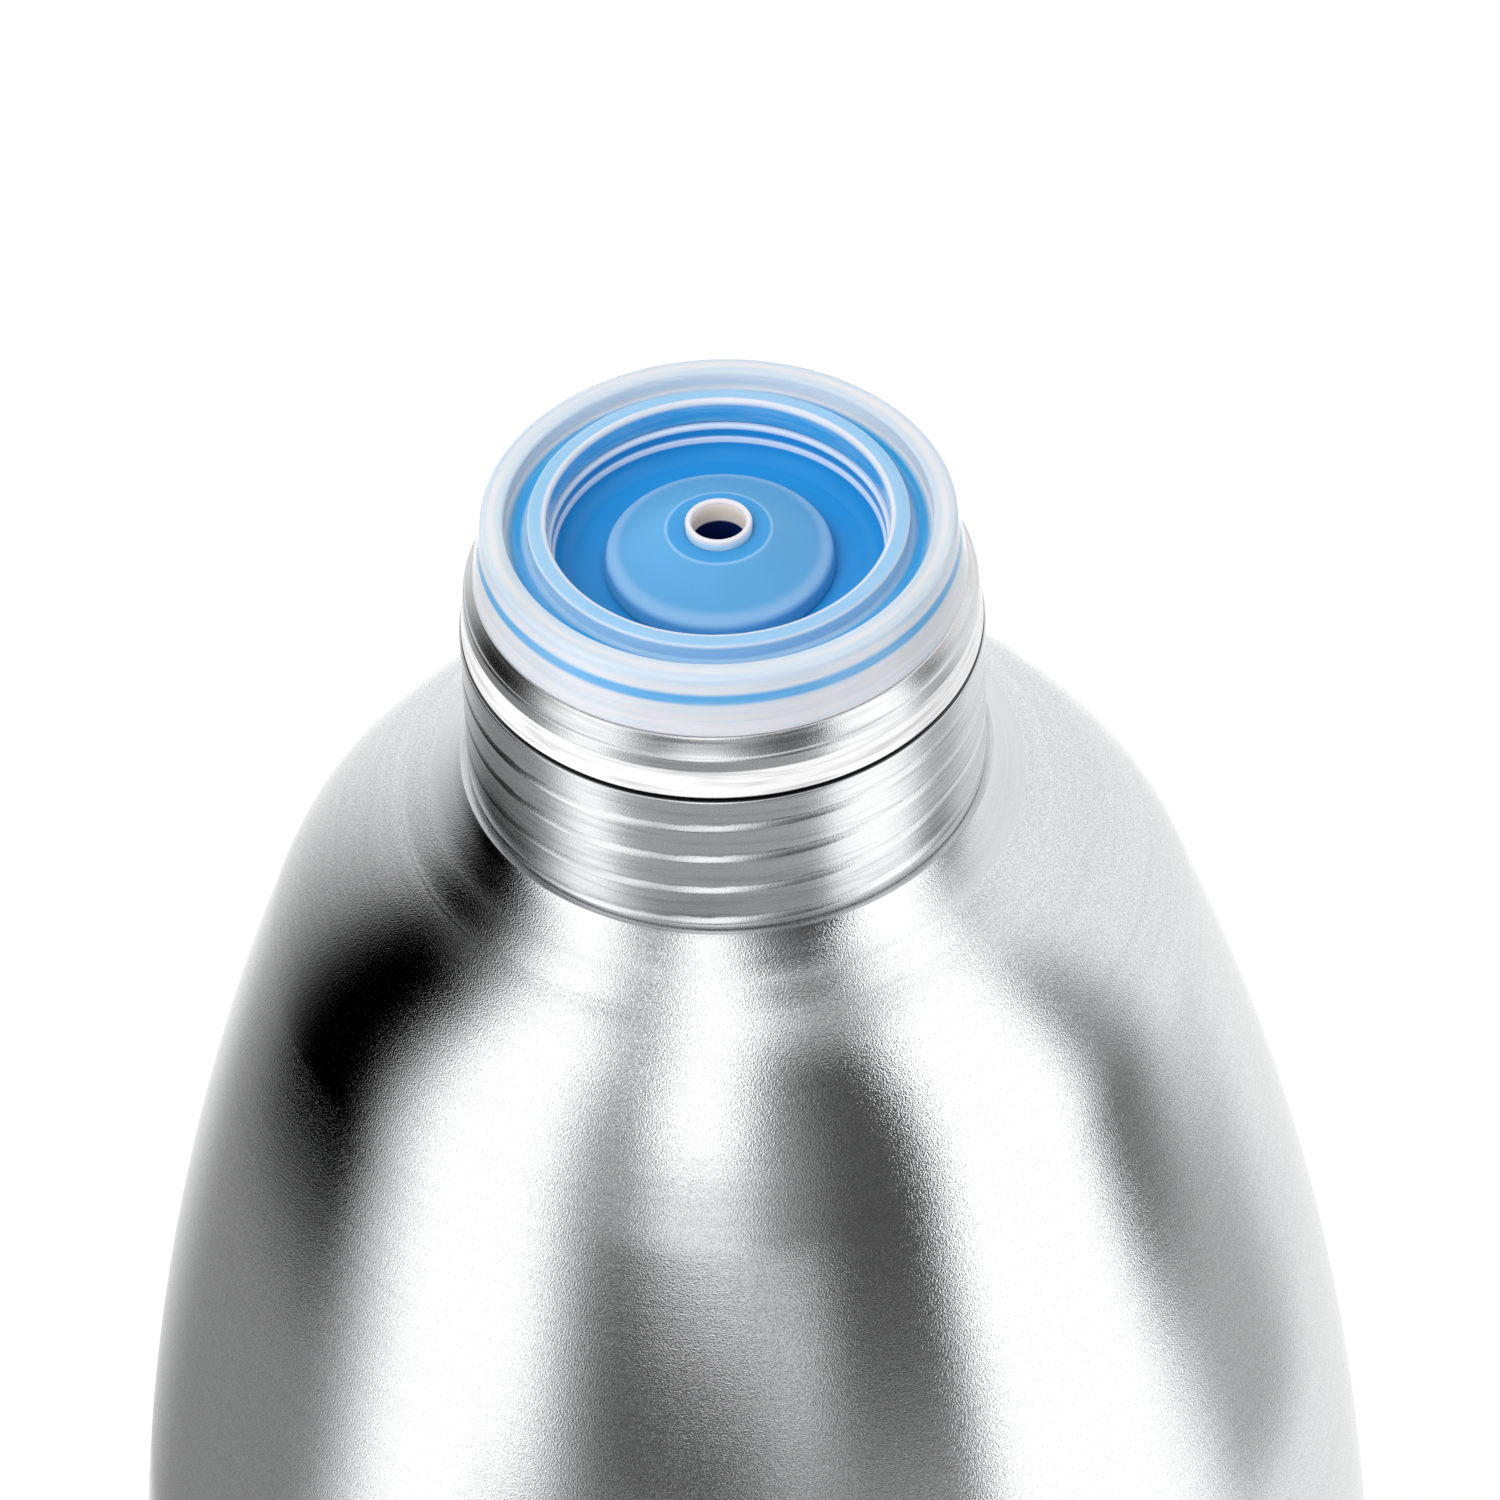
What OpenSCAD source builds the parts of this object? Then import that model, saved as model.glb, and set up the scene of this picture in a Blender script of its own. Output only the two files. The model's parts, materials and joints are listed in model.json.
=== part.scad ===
// Soda siphon, open: the bottle with gasket, insert and riser tube, and its lever head standing beside it.
// Millimetres, +Z up. The origin is the centre of the bottle's foot ring on the table.
// The viewer's side is -Y. The head stands at +X, its spout toward -Y and its charger holder toward +Y.

/* [Bottle] */
// Outer diameter of the body
body_d = 101; // [94:0.5:108]
// Height of the straight side above the table
side_h = 105; // [70:1:150]
// Radius of the long side curve
belly_r = 265; // [240:5:300]
// Turn of the side curve up to the shoulder, in degrees
belly_turn = 19.5; // [18:0.5:21]
// Radius of the shoulder curve
shoulder_r = 30; // [27:0.5:33]
// Thickness of the drawn wall
wall = 1; // [0.8:0.1:1.6]
// Outer radius of the base corner
base_corner_r = 9; // [5:0.5:12]
// Diameter of the hollow under the base
dish_d = 72; // [56:1:76]
// Depth of the hollow under the base
dish_h = 8; // [4:0.5:12]

/* [Neck] */
// Outer diameter over the thread
neck_d = 38.6; // [37.6:0.2:40]
// Diameter of the mouth
mouth_d = 32; // [31:0.2:33]
// Radius of the fillet between shoulder and neck
neck_fillet_r = 6; // [4:0.5:8]
// Ledge that the fillet leaves round the foot of the thread
foot_step = 0.55; // [0.3:0.05:0.8]
// Height of the undercut at the foot of the thread
undercut_h = 0.35; // [0.2:0.05:0.6]
// Depth of the undercut
undercut_depth = 0.35; // [0.2:0.05:0.6]
// Height of the threaded stretch with its undercut
thread_h = 13.2; // [10:0.2:16]
// Height of the groove above the thread
groove_h = 0.7; // [0.4:0.1:1.2]
// Depth of the groove above the thread
groove_depth = 0.6; // [0.3:0.1:1]
// Step from the thread in to the plain band
band_step = 0.15; // [0.05:0.05:0.3]
// Height of the plain band above the groove
band_h = 2.8; // [2:0.2:5]
// Lean of the plain band from its foot to the bevel
band_lean = 0.35; // [0.1:0.05:0.6]
// Height of the rim's bevel
bevel_h = 1.4; // [0.6:0.1:2]
// Width of the rim's bevel
bevel_w = 0.7; // [0.4:0.1:1.2]

/* [Gasket] */
// Height of the gasket above the rim
gasket_h = 5; // [4.4:0.1:6]
// Lean of the gasket's outer wall from foot to top
gasket_lean = 0.8; // [0.2:0.1:1]
// Rounding of the gasket's edges
gasket_edge_r = 0.45; // [0.2:0.05:0.6]
// Width of the outer flange at its top
flange_w = 1.7; // [1.3:0.1:2]
// Width of the channel between flange and lip
channel_w = 1.7; // [1.2:0.1:2]
// Depth of the channel
channel_depth = 1.4; // [0.8:0.1:1.8]
// Width of the inner lip
lip_w = 1.4; // [1.2:0.1:1.8]
// Thickness of the web under the channel
web_t = 0.7; // [0.5:0.1:1]
// Depth of the gasket's sleeve in the mouth
sleeve_depth = 6; // [4:0.5:9]
// Wall of the gasket's sleeve
sleeve_t = 1; // [0.8:0.1:1.4]

/* [Insert and tubes] */
// Ledge of the insert inside the gasket's lip
ledge_w = 0.3; // [0.1:0.1:0.6]
// Depth of the insert's floor below the gasket's top
floor_drop = 4.75; // [4.2:0.05:5]
// Rounding between the insert's floor and its wall
bowl_r = 1.5; // [0.8:0.1:2]
// Thickness of the insert's floor
floor_t = 1.6; // [1.2:0.1:2.4]
// Height of the insert's skirt below its floor
insert_skirt_h = 7; // [6.5:0.5:12]
// Wall of the insert's skirt and of its tube socket
insert_wall = 1.5; // [1:0.1:1.8]
// Diameter of the collar on the floor
collar_d = 17; // [15:0.2:19]
// Lean of the collar's side
collar_lean = 0.25; // [0.1:0.05:0.6]
// Height of the collar's side
collar_side_h = 1.4; // [1:0.1:2]
// Rise of the collar's top above its side
collar_crown_h = 2.1; // [1.4:0.1:2.6]
// Diameter of the flat pad on the collar's top
collar_pad_d = 7.7; // [6.5:0.1:10]
// Diameter of the collar's shank
shank_d = 7.8; // [7:0.2:9]
// Reach of the collar's shank below the floor
shank_h = 6; // [4:0.5:10]
// Outer diameter of the riser tube
riser_d = 4.9; // [4.5:0.1:5.5]
// Bore of the riser tube
riser_bore_d = 3.8; // [3.2:0.1:4]
// Height of the riser tube's end above the collar
riser_proud = 0.8; // [0.3:0.05:2]
// Space between the riser tube's lower end and the bottle's floor
riser_floor_gap = 5; // [3:0.5:12]
// Outer diameter of the measuring tube
measure_d = 17; // [15:0.5:18.5]
// Wall of the measuring tube
measure_wall = 0.8; // [0.6:0.1:1.2]
// Reach of the measuring tube below the insert's floor
measure_len = 62; // [30:1:90]
// Depth of the socket that holds the measuring tube
measure_seat = 5; // [3:0.5:6]
// Diameter of the bleed hole in the measuring tube
bleed_d = 2.4; // [1:0.2:4]

/* [Head] */
// Space on the table between the bottle and the head
head_gap = 30; // [10:1:60]
// Outer diameter of the head's skirt
skirt_d = 50; // [48:0.5:54]
// Height of the straight skirt
skirt_h = 18; // [16:0.5:19]
// Lift of the skirt above the neck's fillet when the head is screwed on
skirt_lift = 1; // [0.5:0.1:2]
// Number of flutes round the skirt
flute_count = 20; // [12:1:28]
// Radius of a flute
flute_r = 2.2; // [1.5:0.1:3]
// Depth of a flute
flute_depth = 0.8; // [0.4:0.1:1.2]
// Diameter of the valve tower
tower_d = 26; // [24:0.5:30]
// Height of the valve tower above the valve seat
tower_h = 16; // [14:0.5:20]
// Rounding of the tower's top edge
tower_edge_r = 2.5; // [1:0.1:3]

/* [Valve] */
// Diameter of the inlet cage
cage_d = 14; // [13:0.2:15]
// Height of the inlet cage
cage_h = 7; // [5:0.5:9]
// Diameter of the spring chamber
chamber_d = 12; // [11.5:0.1:12.6]
// Height of the spring chamber
chamber_h = 14; // [12.5:0.5:17]
// Bore of the valve seat
seat_d = 7.6; // [7:0.1:8.4]
// Height of the outlet gallery above the valve seat
gallery_h = 8; // [7.5:0.1:9]
// Diameter of the valve stem
stem_d = 5; // [4.6:0.1:5.4]
// Height of the stem above the tower
stem_proud = 6; // [5:0.1:8]
// Diameter of the poppet flange
poppet_d = 10.4; // [10:0.1:10.8]
// Thickness of the poppet flange
poppet_t = 2.4; // [1.6:0.1:3]
// Thickness of the valve washer
washer_t = 3; // [2:0.1:3.4]
// Reach of the spring's pilot below the poppet
pilot_h = 2; // [1:0.1:3]
// Wire diameter of the valve spring
spring_wire_d = 1; // [0.8:0.05:1.1]
// Mean diameter of the valve spring
spring_d = 8.4; // [8:0.1:9]
// Curls of the valve spring
spring_curls = 4; // [3:1:4]
// Thickness of the O-ring round the stem
stem_seal_t = 1.8; // [1.4:0.1:2]
// Height of the O-ring above the gallery
stem_seal_rise = 3; // [2.4:0.1:4]

/* [Lever] */
// Distance of the lever's pivot from the stem's axis
pivot_reach = 8; // [7.6:0.1:8.4]
// Height of the pivot above the stem's top
pivot_rise = 2; // [1:0.1:3]
// Diameter of the pivot pin
pin_d = 4; // [3:0.1:4.4]
// Diameter of the lever's hub
hub_d = 9.6; // [9:0.1:10]
// Width of the lever's hub
hub_w = 10.4; // [9:0.1:12]
// Thickness of each ear
ear_t = 3.6; // [3:0.1:4.5]
// Diameter of the ears' rounded tops
ear_d = 11; // [10.2:0.1:12]
// Length of the lever from pivot to tip
lever_len = 95; // [80:1:110]
// Slope of the lever at rest, in degrees
lever_slope = 9; // [8:0.5:14]
// Radius of the lever's long curve
lever_curve_r = 200; // [170:5:260]
// Thickness of the lever
lever_t = 4.5; // [3.5:0.1:5.5]
// Width of the lever's thumb plate
plate_w = 19; // [16:0.5:24]
// Distance from the stem's axis to the wide part of the thumb plate
plate_start = 18; // [16:0.5:26]
// Radius of the nose that pushes the stem
nose_r = 3; // [2.4:0.1:3.4]
// Space between nose and stem at rest
nose_gap = 0.3; // [0.2:0.05:0.6]
// Diameter of the pin's head
pin_head_d = 6.6; // [6:0.1:7.4]
// Thickness of the pin's head
pin_head_t = 1.5; // [1:0.1:2]
// Thickness of the pin's clip
clip_t = 1; // [0.8:0.1:1.4]
// Outer diameter of the pin's clip
clip_d = 7.2; // [6.4:0.1:8]

/* [Spout] */
// Outer diameter of the spout
spout_d = 10; // [9:0.2:11]
// Bore of the spout
spout_bore_d = 6.4; // [5.6:0.1:6.8]
// Diameter of the spout's boss
spout_boss_d = 15.4; // [15:0.1:17]
// Thickness of the spout's flange
spout_flange_t = 3; // [2:0.1:4]
// Diameter of the spout's flange
spout_flange_d = 14; // [13:0.1:14.6]
// Straight length of the spout before its bend
spout_run = 13; // [10:0.5:20]
// Radius of the spout's bend
spout_bend_r = 22; // [18:0.5:26]
// Turn of the spout's bend, in degrees
spout_turn = 75; // [60:1:80]
// Widening of the spout's bore at its end
spout_ream = 0.2; // [0.1:0.05:0.4]
// Diameter of the bead that stops the nozzle
bead_d = 12; // [11.6:0.1:13]
// Width of the bead that stops the nozzle
bead_w = 2; // [1.2:0.1:3]
// Size across the flats of the union nut
nut_flats = 20; // [19.6:0.1:22]
// Length of the union nut
nut_len = 10; // [9:0.5:13]
// Thickness of the union nut's lip
nut_lip_t = 2.2; // [1.6:0.1:3]
// Outer diameter of the spout's ring seal
spout_seal_d = 11; // [10:0.2:12]
// Thickness of the spout's ring seal
spout_seal_t = 1.6; // [1:0.1:2]
// Outer diameter of the nozzle
nozzle_d = 13.4; // [13:0.1:15]
// Outer diameter of the nozzle's mouth
nozzle_mouth_d = 10.6; // [10:0.1:12]
// Length of the nozzle
nozzle_len = 16; // [13:0.5:17]
// Overlap of the nozzle on the spout
nozzle_seat = 6; // [4:0.5:6]

/* [Charger] */
// Height of the charger's axis above the head's ceiling
charger_rise = 17; // [15.5:0.5:18]
// Diameter of the charger's boss
charger_boss_d = 24; // [23:0.5:26]
// Distance from the stem's axis to the face of the charger's boss
charger_boss_y = 28; // [26:0.5:32]
// Diameter of the socket's shank
socket_shank_d = 15; // [14:0.2:16]
// Length of the socket's shank
socket_shank_len = 12; // [10:0.5:13]
// Thickness of the socket's flange
socket_flange_t = 3; // [2:0.2:4]
// Diameter of the socket's threaded nose
socket_nose_d = 22; // [21:0.2:23]
// Length of the socket's threaded nose
socket_nose_len = 13; // [11:0.5:16]
// Diameter of the piercing pin's base
pierce_d = 5.2; // [4.6:0.1:6]
// Diameter of the piercing pin's needle
needle_d = 2; // [1.6:0.1:2.4]
// Reach of the needle past the charger's seal
needle_reach = 2.4; // [1.6:0.1:3]
// Gas bore of the piercing pin
gas_bore_d = 1.2; // [0.8:0.1:1.4]
// Diameter of the gas port down to the bottle
gas_port_d = 3; // [2:0.1:3.2]
// Distance of the gas port from the stem's axis
gas_port_y = 10.4; // [10:0.1:10.6]
// Thickness of the charger's seal
charger_seal_t = 2; // [1.4:0.1:2.6]
// Diameter of the charger
charger_d = 18.2; // [17.6:0.1:18.6]
// Length of the charger
charger_len = 65; // [62:0.5:68]
// Wall of the charger
charger_wall = 1.6; // [1.2:0.1:2]
// Diameter of the charger's neck
charger_neck_d = 8.8; // [8:0.1:9.4]
// Length of the charger's neck
charger_neck_len = 9; // [8:0.5:11]
// Length of the charger's shoulder
charger_shoulder_len = 8; // [6:0.5:10]
// Wall of the charger holder
holder_wall = 2.6; // [2:0.1:3.4]
// Wall of the holder's threaded mouth
holder_mouth_wall = 2.2; // [1.8:0.1:3]
// Length of the grip sleeve
grip_len = 42; // [30:1:44]
// Thickness of the grip sleeve
grip_t = 2.8; // [2:0.1:3.2]
// Number of flutes round the grip sleeve
grip_flutes = 14; // [10:1:20]

/* [Relief valve] */
// Size across the flats of the relief valve
relief_flats = 9; // [8:0.2:10]
// Diameter of the relief valve's boss
relief_boss_d = 12; // [11.6:0.2:14]
// Distance from the stem's axis to the face of the relief valve's boss
relief_boss_x = 20; // [19:0.5:23]
// Height of the relief valve's hexagon
relief_h = 3.5; // [2.5:0.1:5]
// Diameter of the relief valve's shank
relief_shank_d = 5; // [4:0.1:6]
// Length of the relief valve's shank
relief_shank_len = 6; // [4:0.5:8]

/* [Hidden] */
$fn = 96;

// Clearances: pushed together, running fit, plain cylinders in place of a thread, and cutters' overlap
press_gap = 0.02;
run_gap = 0.05;
thread_gap = 0.3;
over = 1;

// Facets of the very long curves
long_fn = 720;

// Bottle, worked out from the base up to the rim
body_r = body_d / 2;
neck_r = neck_d / 2;
mouth_r = mouth_d / 2;
dish_r = (dish_d * dish_d / 4 + dish_h * dish_h) / (2 * dish_h);
belly_c = [body_r - belly_r, side_h];
shoulder_c = belly_c + (belly_r - shoulder_r) * [cos(belly_turn), sin(belly_turn)];
weld_angle = acos((neck_r + neck_fillet_r - shoulder_c.x) / (shoulder_r + neck_fillet_r));
weld_r = shoulder_c.x + shoulder_r * cos(weld_angle);
weld_z = shoulder_c.y + shoulder_r * sin(weld_angle);
fillet_z = shoulder_c.y + (shoulder_r + neck_fillet_r) * sin(weld_angle);
foot_drop = neck_fillet_r - foot_step;
foot_z = fillet_z - sqrt(neck_fillet_r * neck_fillet_r - foot_drop * foot_drop);
groove_z = foot_z + thread_h;
band_z = groove_z + groove_h;
bevel_z = band_z + band_h;
rim_z = bevel_z + bevel_h;
band_r = neck_r - band_step;
bevel_r = band_r - band_lean;
rim_r = bevel_r - bevel_w;

// Gasket, insert and tubes, measured from the gasket's seat on the rim
gasket_z = rim_z + press_gap;
gasket_top_r = rim_r - gasket_lean;
channel_r = gasket_top_r - flange_w;
lip_outer_r = channel_r - channel_w;
lip_r = lip_outer_r - lip_w;
channel_z = gasket_h - channel_depth;
web_z = channel_z - web_t;
sleeve_r = mouth_r - run_gap;
insert_r = sleeve_r - sleeve_t - press_gap;
floor_z = gasket_h - floor_drop;
floor_under_z = floor_z - floor_t;
recess_r = lip_r - ledge_w;
collar_side_z = floor_z + collar_side_h;
collar_top_z = collar_side_z + collar_crown_h;
riser_top_z = collar_top_z + riser_proud;
riser_r = riser_d / 2;
riser_bottom_z = dish_h + wall + riser_floor_gap - gasket_z;
measure_r = measure_d / 2;
measure_socket_r = measure_r + press_gap;
measure_bottom_z = floor_under_z - measure_len;

// Head, measured from the table under its skirt
skirt_r = skirt_d / 2;
tower_r = tower_d / 2;
head_x = body_r + head_gap + skirt_r;
cap_r = neck_r + thread_gap;
ceiling_z = gasket_z + gasket_h - foot_z - skirt_lift;
cage_top_z = ceiling_z + cage_h;
seat_z = cage_top_z + chamber_h;
tower_z = seat_z + tower_h;
spout_z = seat_z + gallery_h / 2;
charger_z = ceiling_z + charger_rise;

// Valve
stem_r = stem_d / 2;
guide_r = stem_r + run_gap;
stem_top_z = tower_z + stem_proud;
washer_z = seat_z - washer_t;
poppet_z = washer_z - poppet_t;
spring_bottom_z = cage_top_z + run_gap + spring_wire_d / 2;
spring_top_z = poppet_z - run_gap - spring_wire_d / 2;
stem_seal_z = seat_z + gallery_h + stem_seal_rise;
spring_rings = 8;
spring_sides = 6;

// Lever: its middle line is an arc over the chord from pivot to tip
pivot_y = -pivot_reach;
pivot_z = stem_top_z + pivot_rise;
ear_x = hub_w / 2 + thread_gap;
ear_out_x = ear_x + ear_t;
lever_tip_y = pivot_y + lever_len * cos(lever_slope);
lever_curve_drop = sqrt(lever_curve_r * lever_curve_r - lever_len * lever_len / 4);
lever_curve_y = pivot_y + lever_len * cos(lever_slope) / 2 + lever_curve_drop * sin(lever_slope);
lever_curve_z = pivot_z + lever_len * sin(lever_slope) / 2 - lever_curve_drop * cos(lever_slope);
nose_z = stem_top_z + nose_gap + nose_r;

// Spout, measured forward from the stem's axis: the union nut clears the dome and the tower
nut_foot_z = spout_z - nut_flats / 2 - skirt_h;
dome_reach = sqrt(max(0, skirt_r * skirt_r - nut_foot_z * nut_foot_z));
nut_start = max(tower_r, dome_reach) + thread_gap;
nut_end = nut_start + nut_len;
spout_flange_end = nut_end - nut_lip_t - run_gap;
spout_face = spout_flange_end - spout_flange_t;
spout_bend_start = spout_flange_end + spout_run;
spout_drop = nozzle_seat + bead_w / 2;

// Charger, measured back from the stem's axis
socket_start = charger_boss_y - socket_shank_len;
socket_flange_end = charger_boss_y + socket_flange_t;
socket_end = socket_flange_end + socket_nose_len;
charger_neck_r = charger_neck_d / 2;
neck_bore_r = charger_neck_r + thread_gap;
charger_start = socket_end - charger_neck_len;
charger_end = charger_start + charger_len;
seal_start = charger_start - charger_seal_t;
needle_end = charger_start + needle_reach;
charger_r = charger_d / 2;
holder_bore_r = charger_r + thread_gap;
holder_r = holder_bore_r + holder_wall;
holder_mouth_r = socket_nose_d / 2 + thread_gap;
holder_mouth_out_r = holder_mouth_r + holder_mouth_wall;
holder_start = socket_flange_end + thread_gap;
holder_mouth_end = socket_end + over;
holder_floor = charger_end + thread_gap;
holder_end = holder_floor + holder_wall;
grip_end = holder_end - holder_r;
grip_start = grip_end - grip_len;
grip_r = holder_r + grip_t;

steel = "#c3c4c7";
bright_steel = "#d4d5d8";
brass = "#c7a55a";
clear_blue = "#dde6f6";
deep_blue = "#2b55cf";
pale_blue = "#86aaf0";
ivory = "#efe9dc";
black_rubber = "#2c2d30";
dark_plastic = "#3a3d44";

// Round bar along Y from y0 to y1
module bar_y(r, y0, y1) {
    translate([0, y0, 0]) rotate([-90, 0, 0]) cylinder(r = r, h = y1 - y0);
}

// Round bar along X from x0 to x1
module bar_x(r, x0, x1) {
    translate([x0, 0, 0]) rotate([0, 90, 0]) cylinder(r = r, h = x1 - x0);
}

// Hexagon bar along Z, sized across its flats
module hex_bar(flats, h) {
    cylinder(r = flats / 2 / cos(30), h = h, $fn = 6);
}

// Ring of equal round cuts that leaves flutes of the given depth on a bar along Z
module flute_cuts(bar_r, cut_r, depth, count, h) {
    for (i = [0 : count - 1])
        rotate(i * 360 / count)
            translate([bar_r + cut_r - depth, 0, -over])
                cylinder(r = cut_r, h = h + 2 * over, $fn = 32);
}

// Places a piece on the head's own axis
module at_head() {
    translate([head_x, 0, 0]) children();
}

// Places a piece on the charger's axis, its length along Y
module at_charger() {
    at_head() translate([0, 0, charger_z]) children();
}

// Turns a profile of radius against length round the Y axis
module turned_y() {
    rotate([-90, 0, 0]) rotate_extrude() children();
}

// Half section of the lower cup, inset by the wall, up to the given height
module cup_section(inset, top) {
    difference() {
        union() {
            translate([0, inset]) square([body_r - base_corner_r, top - inset]);
            translate([0, base_corner_r]) square([body_r - inset, top - base_corner_r]);
            translate([body_r - base_corner_r, base_corner_r]) circle(base_corner_r - inset);
        }
        translate([0, dish_h - dish_r]) circle(dish_r + inset, $fn = long_fn);
    }
}

// Half section of the upper shell, inset by the wall, up to the given height
module shoulder_section(inset, top) {
    belly_top = (belly_r - inset) * sin(belly_turn);
    intersection() {
        translate(belly_c) circle(belly_r - inset, $fn = long_fn);
        translate([0, side_h]) square([body_r, belly_top]);
    }
    intersection() {
        translate(shoulder_c) circle(shoulder_r - inset);
        translate([0, side_h]) square([body_r, top - side_h]);
    }
}

module bottle_cup() {
    color(steel) rotate_extrude() difference() {
        cup_section(0, side_h);
        cup_section(wall, side_h + over);
    }
}

module bottle_shoulder() {
    color(steel) rotate_extrude() difference() {
        shoulder_section(0, weld_z);
        shoulder_section(wall, weld_z + over);
        translate([0, side_h]) square([mouth_r, weld_z + over - side_h]);
    }
}

module threaded_neck() {
    color(bright_steel) rotate_extrude() difference() {
        union() {
            translate([mouth_r, weld_z]) square([weld_r - mouth_r, foot_z - weld_z]);
            translate([mouth_r, weld_z]) square([neck_r - mouth_r, rim_z - weld_z]);
        }
        translate([neck_r + neck_fillet_r, fillet_z]) circle(neck_fillet_r);
        translate([neck_r - undercut_depth, foot_z]) square([undercut_depth + over, undercut_h]);
        translate([neck_r - groove_depth, groove_z]) square([groove_depth + over, groove_h]);
        polygon([[rim_r, rim_z], [bevel_r, bevel_z], [band_r, band_z], [neck_r + over, band_z],
            [neck_r + over, rim_z]]);
    }
}

// Upright wall of the gasket between two radii, with a rounded top
module gasket_wall(r0, r1, foot) {
    translate([r0, foot]) square([r1 - r0, gasket_h - gasket_edge_r - foot]);
    translate([r0 + gasket_edge_r, foot]) square([r1 - r0 - 2 * gasket_edge_r, gasket_h - foot]);
    for (r = [r0 + gasket_edge_r, r1 - gasket_edge_r])
        translate([r, gasket_h - gasket_edge_r]) circle(gasket_edge_r, $fn = 32);
}

module neck_gasket() {
    lean_top = gasket_h - gasket_edge_r;
    color(clear_blue) translate([0, 0, gasket_z]) rotate_extrude() {
        gasket_wall(channel_r, gasket_top_r, 0);
        gasket_wall(lip_r, lip_outer_r, web_z);
        translate([lip_r, web_z]) square([channel_r - lip_r, web_t]);
        polygon([[sleeve_r - sleeve_t, 0], [rim_r, 0], [gasket_top_r, lean_top],
            [channel_r, lean_top], [sleeve_r - sleeve_t, web_z]]);
        translate([sleeve_r - sleeve_t, -sleeve_depth]) square([sleeve_t, sleeve_depth]);
    }
}

// Half section of the insert's recess: a rounded bowl under a plain wall
module recess_section() {
    translate([0, floor_z + bowl_r]) square([recess_r, web_z]);
    translate([0, floor_z]) square([recess_r - bowl_r, bowl_r + over]);
    translate([recess_r - bowl_r, floor_z + bowl_r]) circle(bowl_r);
}

module neck_insert() {
    skirt_bottom = floor_under_z - insert_skirt_h;
    socket_bottom = floor_under_z - measure_seat;
    color(deep_blue) translate([0, 0, gasket_z]) rotate_extrude() difference() {
        translate([shank_d / 2 + press_gap, skirt_bottom])
            square([insert_r - shank_d / 2 - press_gap, web_z - skirt_bottom]);
        recess_section();
        translate([0, skirt_bottom - over])
            square([insert_r - insert_wall, socket_bottom - skirt_bottom + over]);
        translate([0, socket_bottom - over]) square([measure_socket_r, measure_seat + over]);
        translate([measure_socket_r + insert_wall, socket_bottom - over])
            square([insert_r - 2 * insert_wall - measure_socket_r, measure_seat + over]);
    }
}

module tube_collar() {
    color(pale_blue) translate([0, 0, gasket_z]) rotate_extrude() difference() {
        union() {
            polygon([[0, floor_z], [collar_d / 2, floor_z], [collar_d / 2 - collar_lean, collar_side_z],
                [collar_pad_d / 2, collar_top_z], [0, collar_top_z]]);
            translate([0, floor_under_z - shank_h]) square([shank_d / 2, shank_h + floor_t]);
        }
        translate([0, floor_under_z - shank_h - over])
            square([riser_r + press_gap, shank_h + collar_top_z - floor_under_z + 2 * over]);
    }
}

module riser_tube() {
    bore_r = riser_bore_d / 2;
    flare = (riser_r - bore_r) * 0.7;
    color(ivory) translate([0, 0, gasket_z]) difference() {
        rotate_extrude() polygon([
            [bore_r, riser_bottom_z], [riser_r, riser_bottom_z], [riser_r, riser_top_z],
            [bore_r + flare, riser_top_z], [bore_r, riser_top_z - 4 * flare]]);
        translate([0, 0, riser_bottom_z]) rotate([0, 45, 0])
            translate([-riser_d, -riser_d, -2 * riser_d]) cube(2 * riser_d);
    }
}

module measuring_tube() {
    color(clear_blue) translate([0, 0, gasket_z]) difference() {
        translate([0, 0, measure_bottom_z]) cylinder(r = measure_r, h = measure_len);
        translate([0, 0, measure_bottom_z - over])
            cylinder(r = measure_r - measure_wall, h = measure_len + 2 * over);
        translate([0, 0, floor_under_z - 2 * measure_seat]) bar_x(bleed_d / 2, 0, measure_d);
    }
}

// Ear outline seen along X: a round top on a straight leg into the tower
module ear_outline() {
    translate([pivot_y, pivot_z]) circle(ear_d / 2);
    translate([pivot_y - ear_d / 2, tower_z - tower_edge_r - over])
        square([ear_d, pivot_z - tower_z + tower_edge_r + over]);
}

module head_solid() {
    difference() {
        rotate_extrude() {
            square([skirt_r, skirt_h]);
            intersection() {
                translate([0, skirt_h]) circle(skirt_r);
                translate([0, skirt_h]) square(skirt_r);
            }
            square([tower_r, tower_z - tower_edge_r]);
            square([tower_r - tower_edge_r, tower_z]);
            translate([tower_r - tower_edge_r, tower_z - tower_edge_r]) circle(tower_edge_r);
        }
        flute_cuts(skirt_r, flute_r, flute_depth, flute_count, skirt_h - 2 * over);
    }
    translate([0, 0, spout_z]) bar_y(spout_boss_d / 2, -spout_face, 0);
    translate([0, 0, charger_z]) bar_y(charger_boss_d / 2, 0, charger_boss_y);
    translate([0, 0, charger_z]) bar_x(relief_boss_d / 2, 0, relief_boss_x);
    for (x = [-ear_out_x, ear_x])
        translate([x, 0, 0]) rotate([90, 0, 90]) linear_extrude(ear_t) ear_outline();
}

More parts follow.
